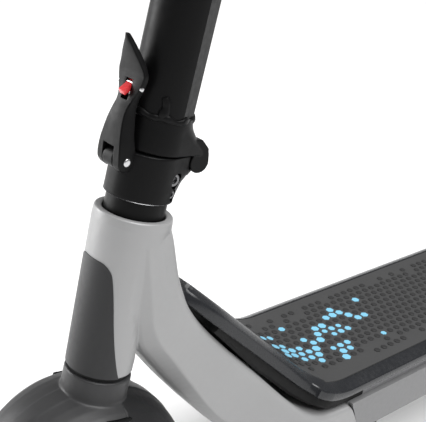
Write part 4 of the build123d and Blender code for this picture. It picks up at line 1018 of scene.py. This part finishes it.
world = bpy.data.worlds.new("studio")
bpy.context.scene.world = world
world.use_nodes = True
background = world.node_tree.nodes["Background"]
background.inputs["Color"].default_value = (1, 1, 1, 1)
background.inputs["Strength"].default_value = 0.31


def lamp(name, kind, offset, strength, size):
    """A lamp this far from the seam in metres. Size is degrees for a sun, metres for a disk."""
    data = bpy.data.lights.new(name, kind)
    data.energy = strength
    if kind == "SUN":
        data.angle = math.radians(size)
    else:
        data.shape = "DISK"
        data.size = size
    obj = bpy.data.objects.new(name, data)
    obj.location = SEAM + Vector(offset)
    bpy.context.scene.collection.objects.link(obj)
    obj.rotation_mode = "QUATERNION"
    obj.rotation_quaternion = (LAMP_TARGET - obj.location).to_track_quat("-Z", "Y")


LAMP_TARGET = SEAM + Vector((0, 0, -0.1))
lamp("key", "SUN", (-0.3, 1.2, 2.2), 2.9, 50)
lamp("rim", "AREA", (0.9, -1.6, 0.5), 22.0, 1.0)
lamp("front", "AREA", (1.1, -1.3, -0.1), 6.0, 0.8)
lamp("top", "AREA", (-0.6, 0.2, 1.9), 14.0, 1.4)

# The camera's place in millimetres from the seam, its lens, and its turns in degrees.
CAMERA_AT = (437.94, 574.87, 322.73)
CAMERA_LENS, CAMERA_SENSOR = 77.85, 36.0
CAMERA_YAW, CAMERA_PITCH, CAMERA_ROLL = -132.506, 24.793, -5.745
camera_data = bpy.data.cameras.new("camera")
camera_data.sensor_fit = "HORIZONTAL"
camera_data.sensor_width = CAMERA_SENSOR
camera_data.lens = CAMERA_LENS
camera_data.clip_start, camera_data.clip_end = 0.05, 60
camera = bpy.data.objects.new("camera", camera_data)
bpy.context.scene.collection.objects.link(camera)
camera.location = level(*CAMERA_AT)
yaw, pitch, roll = (math.radians(a) for a in (CAMERA_YAW, CAMERA_PITCH, CAMERA_ROLL))
forward = Vector((math.cos(yaw) * math.cos(pitch), math.sin(yaw) * math.cos(pitch),
                  -math.sin(pitch)))
level_side = forward.cross(Vector((0, 0, 1))).normalized()
level_down = forward.cross(level_side)
right = level_side * math.cos(roll) + level_down * math.sin(roll)
down = level_down * math.cos(roll) - level_side * math.sin(roll)
basis = [[right[i], -down[i], -forward[i]] for i in range(3)]
camera.rotation_mode = "QUATERNION"
camera.rotation_quaternion = Matrix(basis).to_quaternion()
bpy.context.scene.camera = camera
bpy.context.scene.view_settings.view_transform = "Standard"
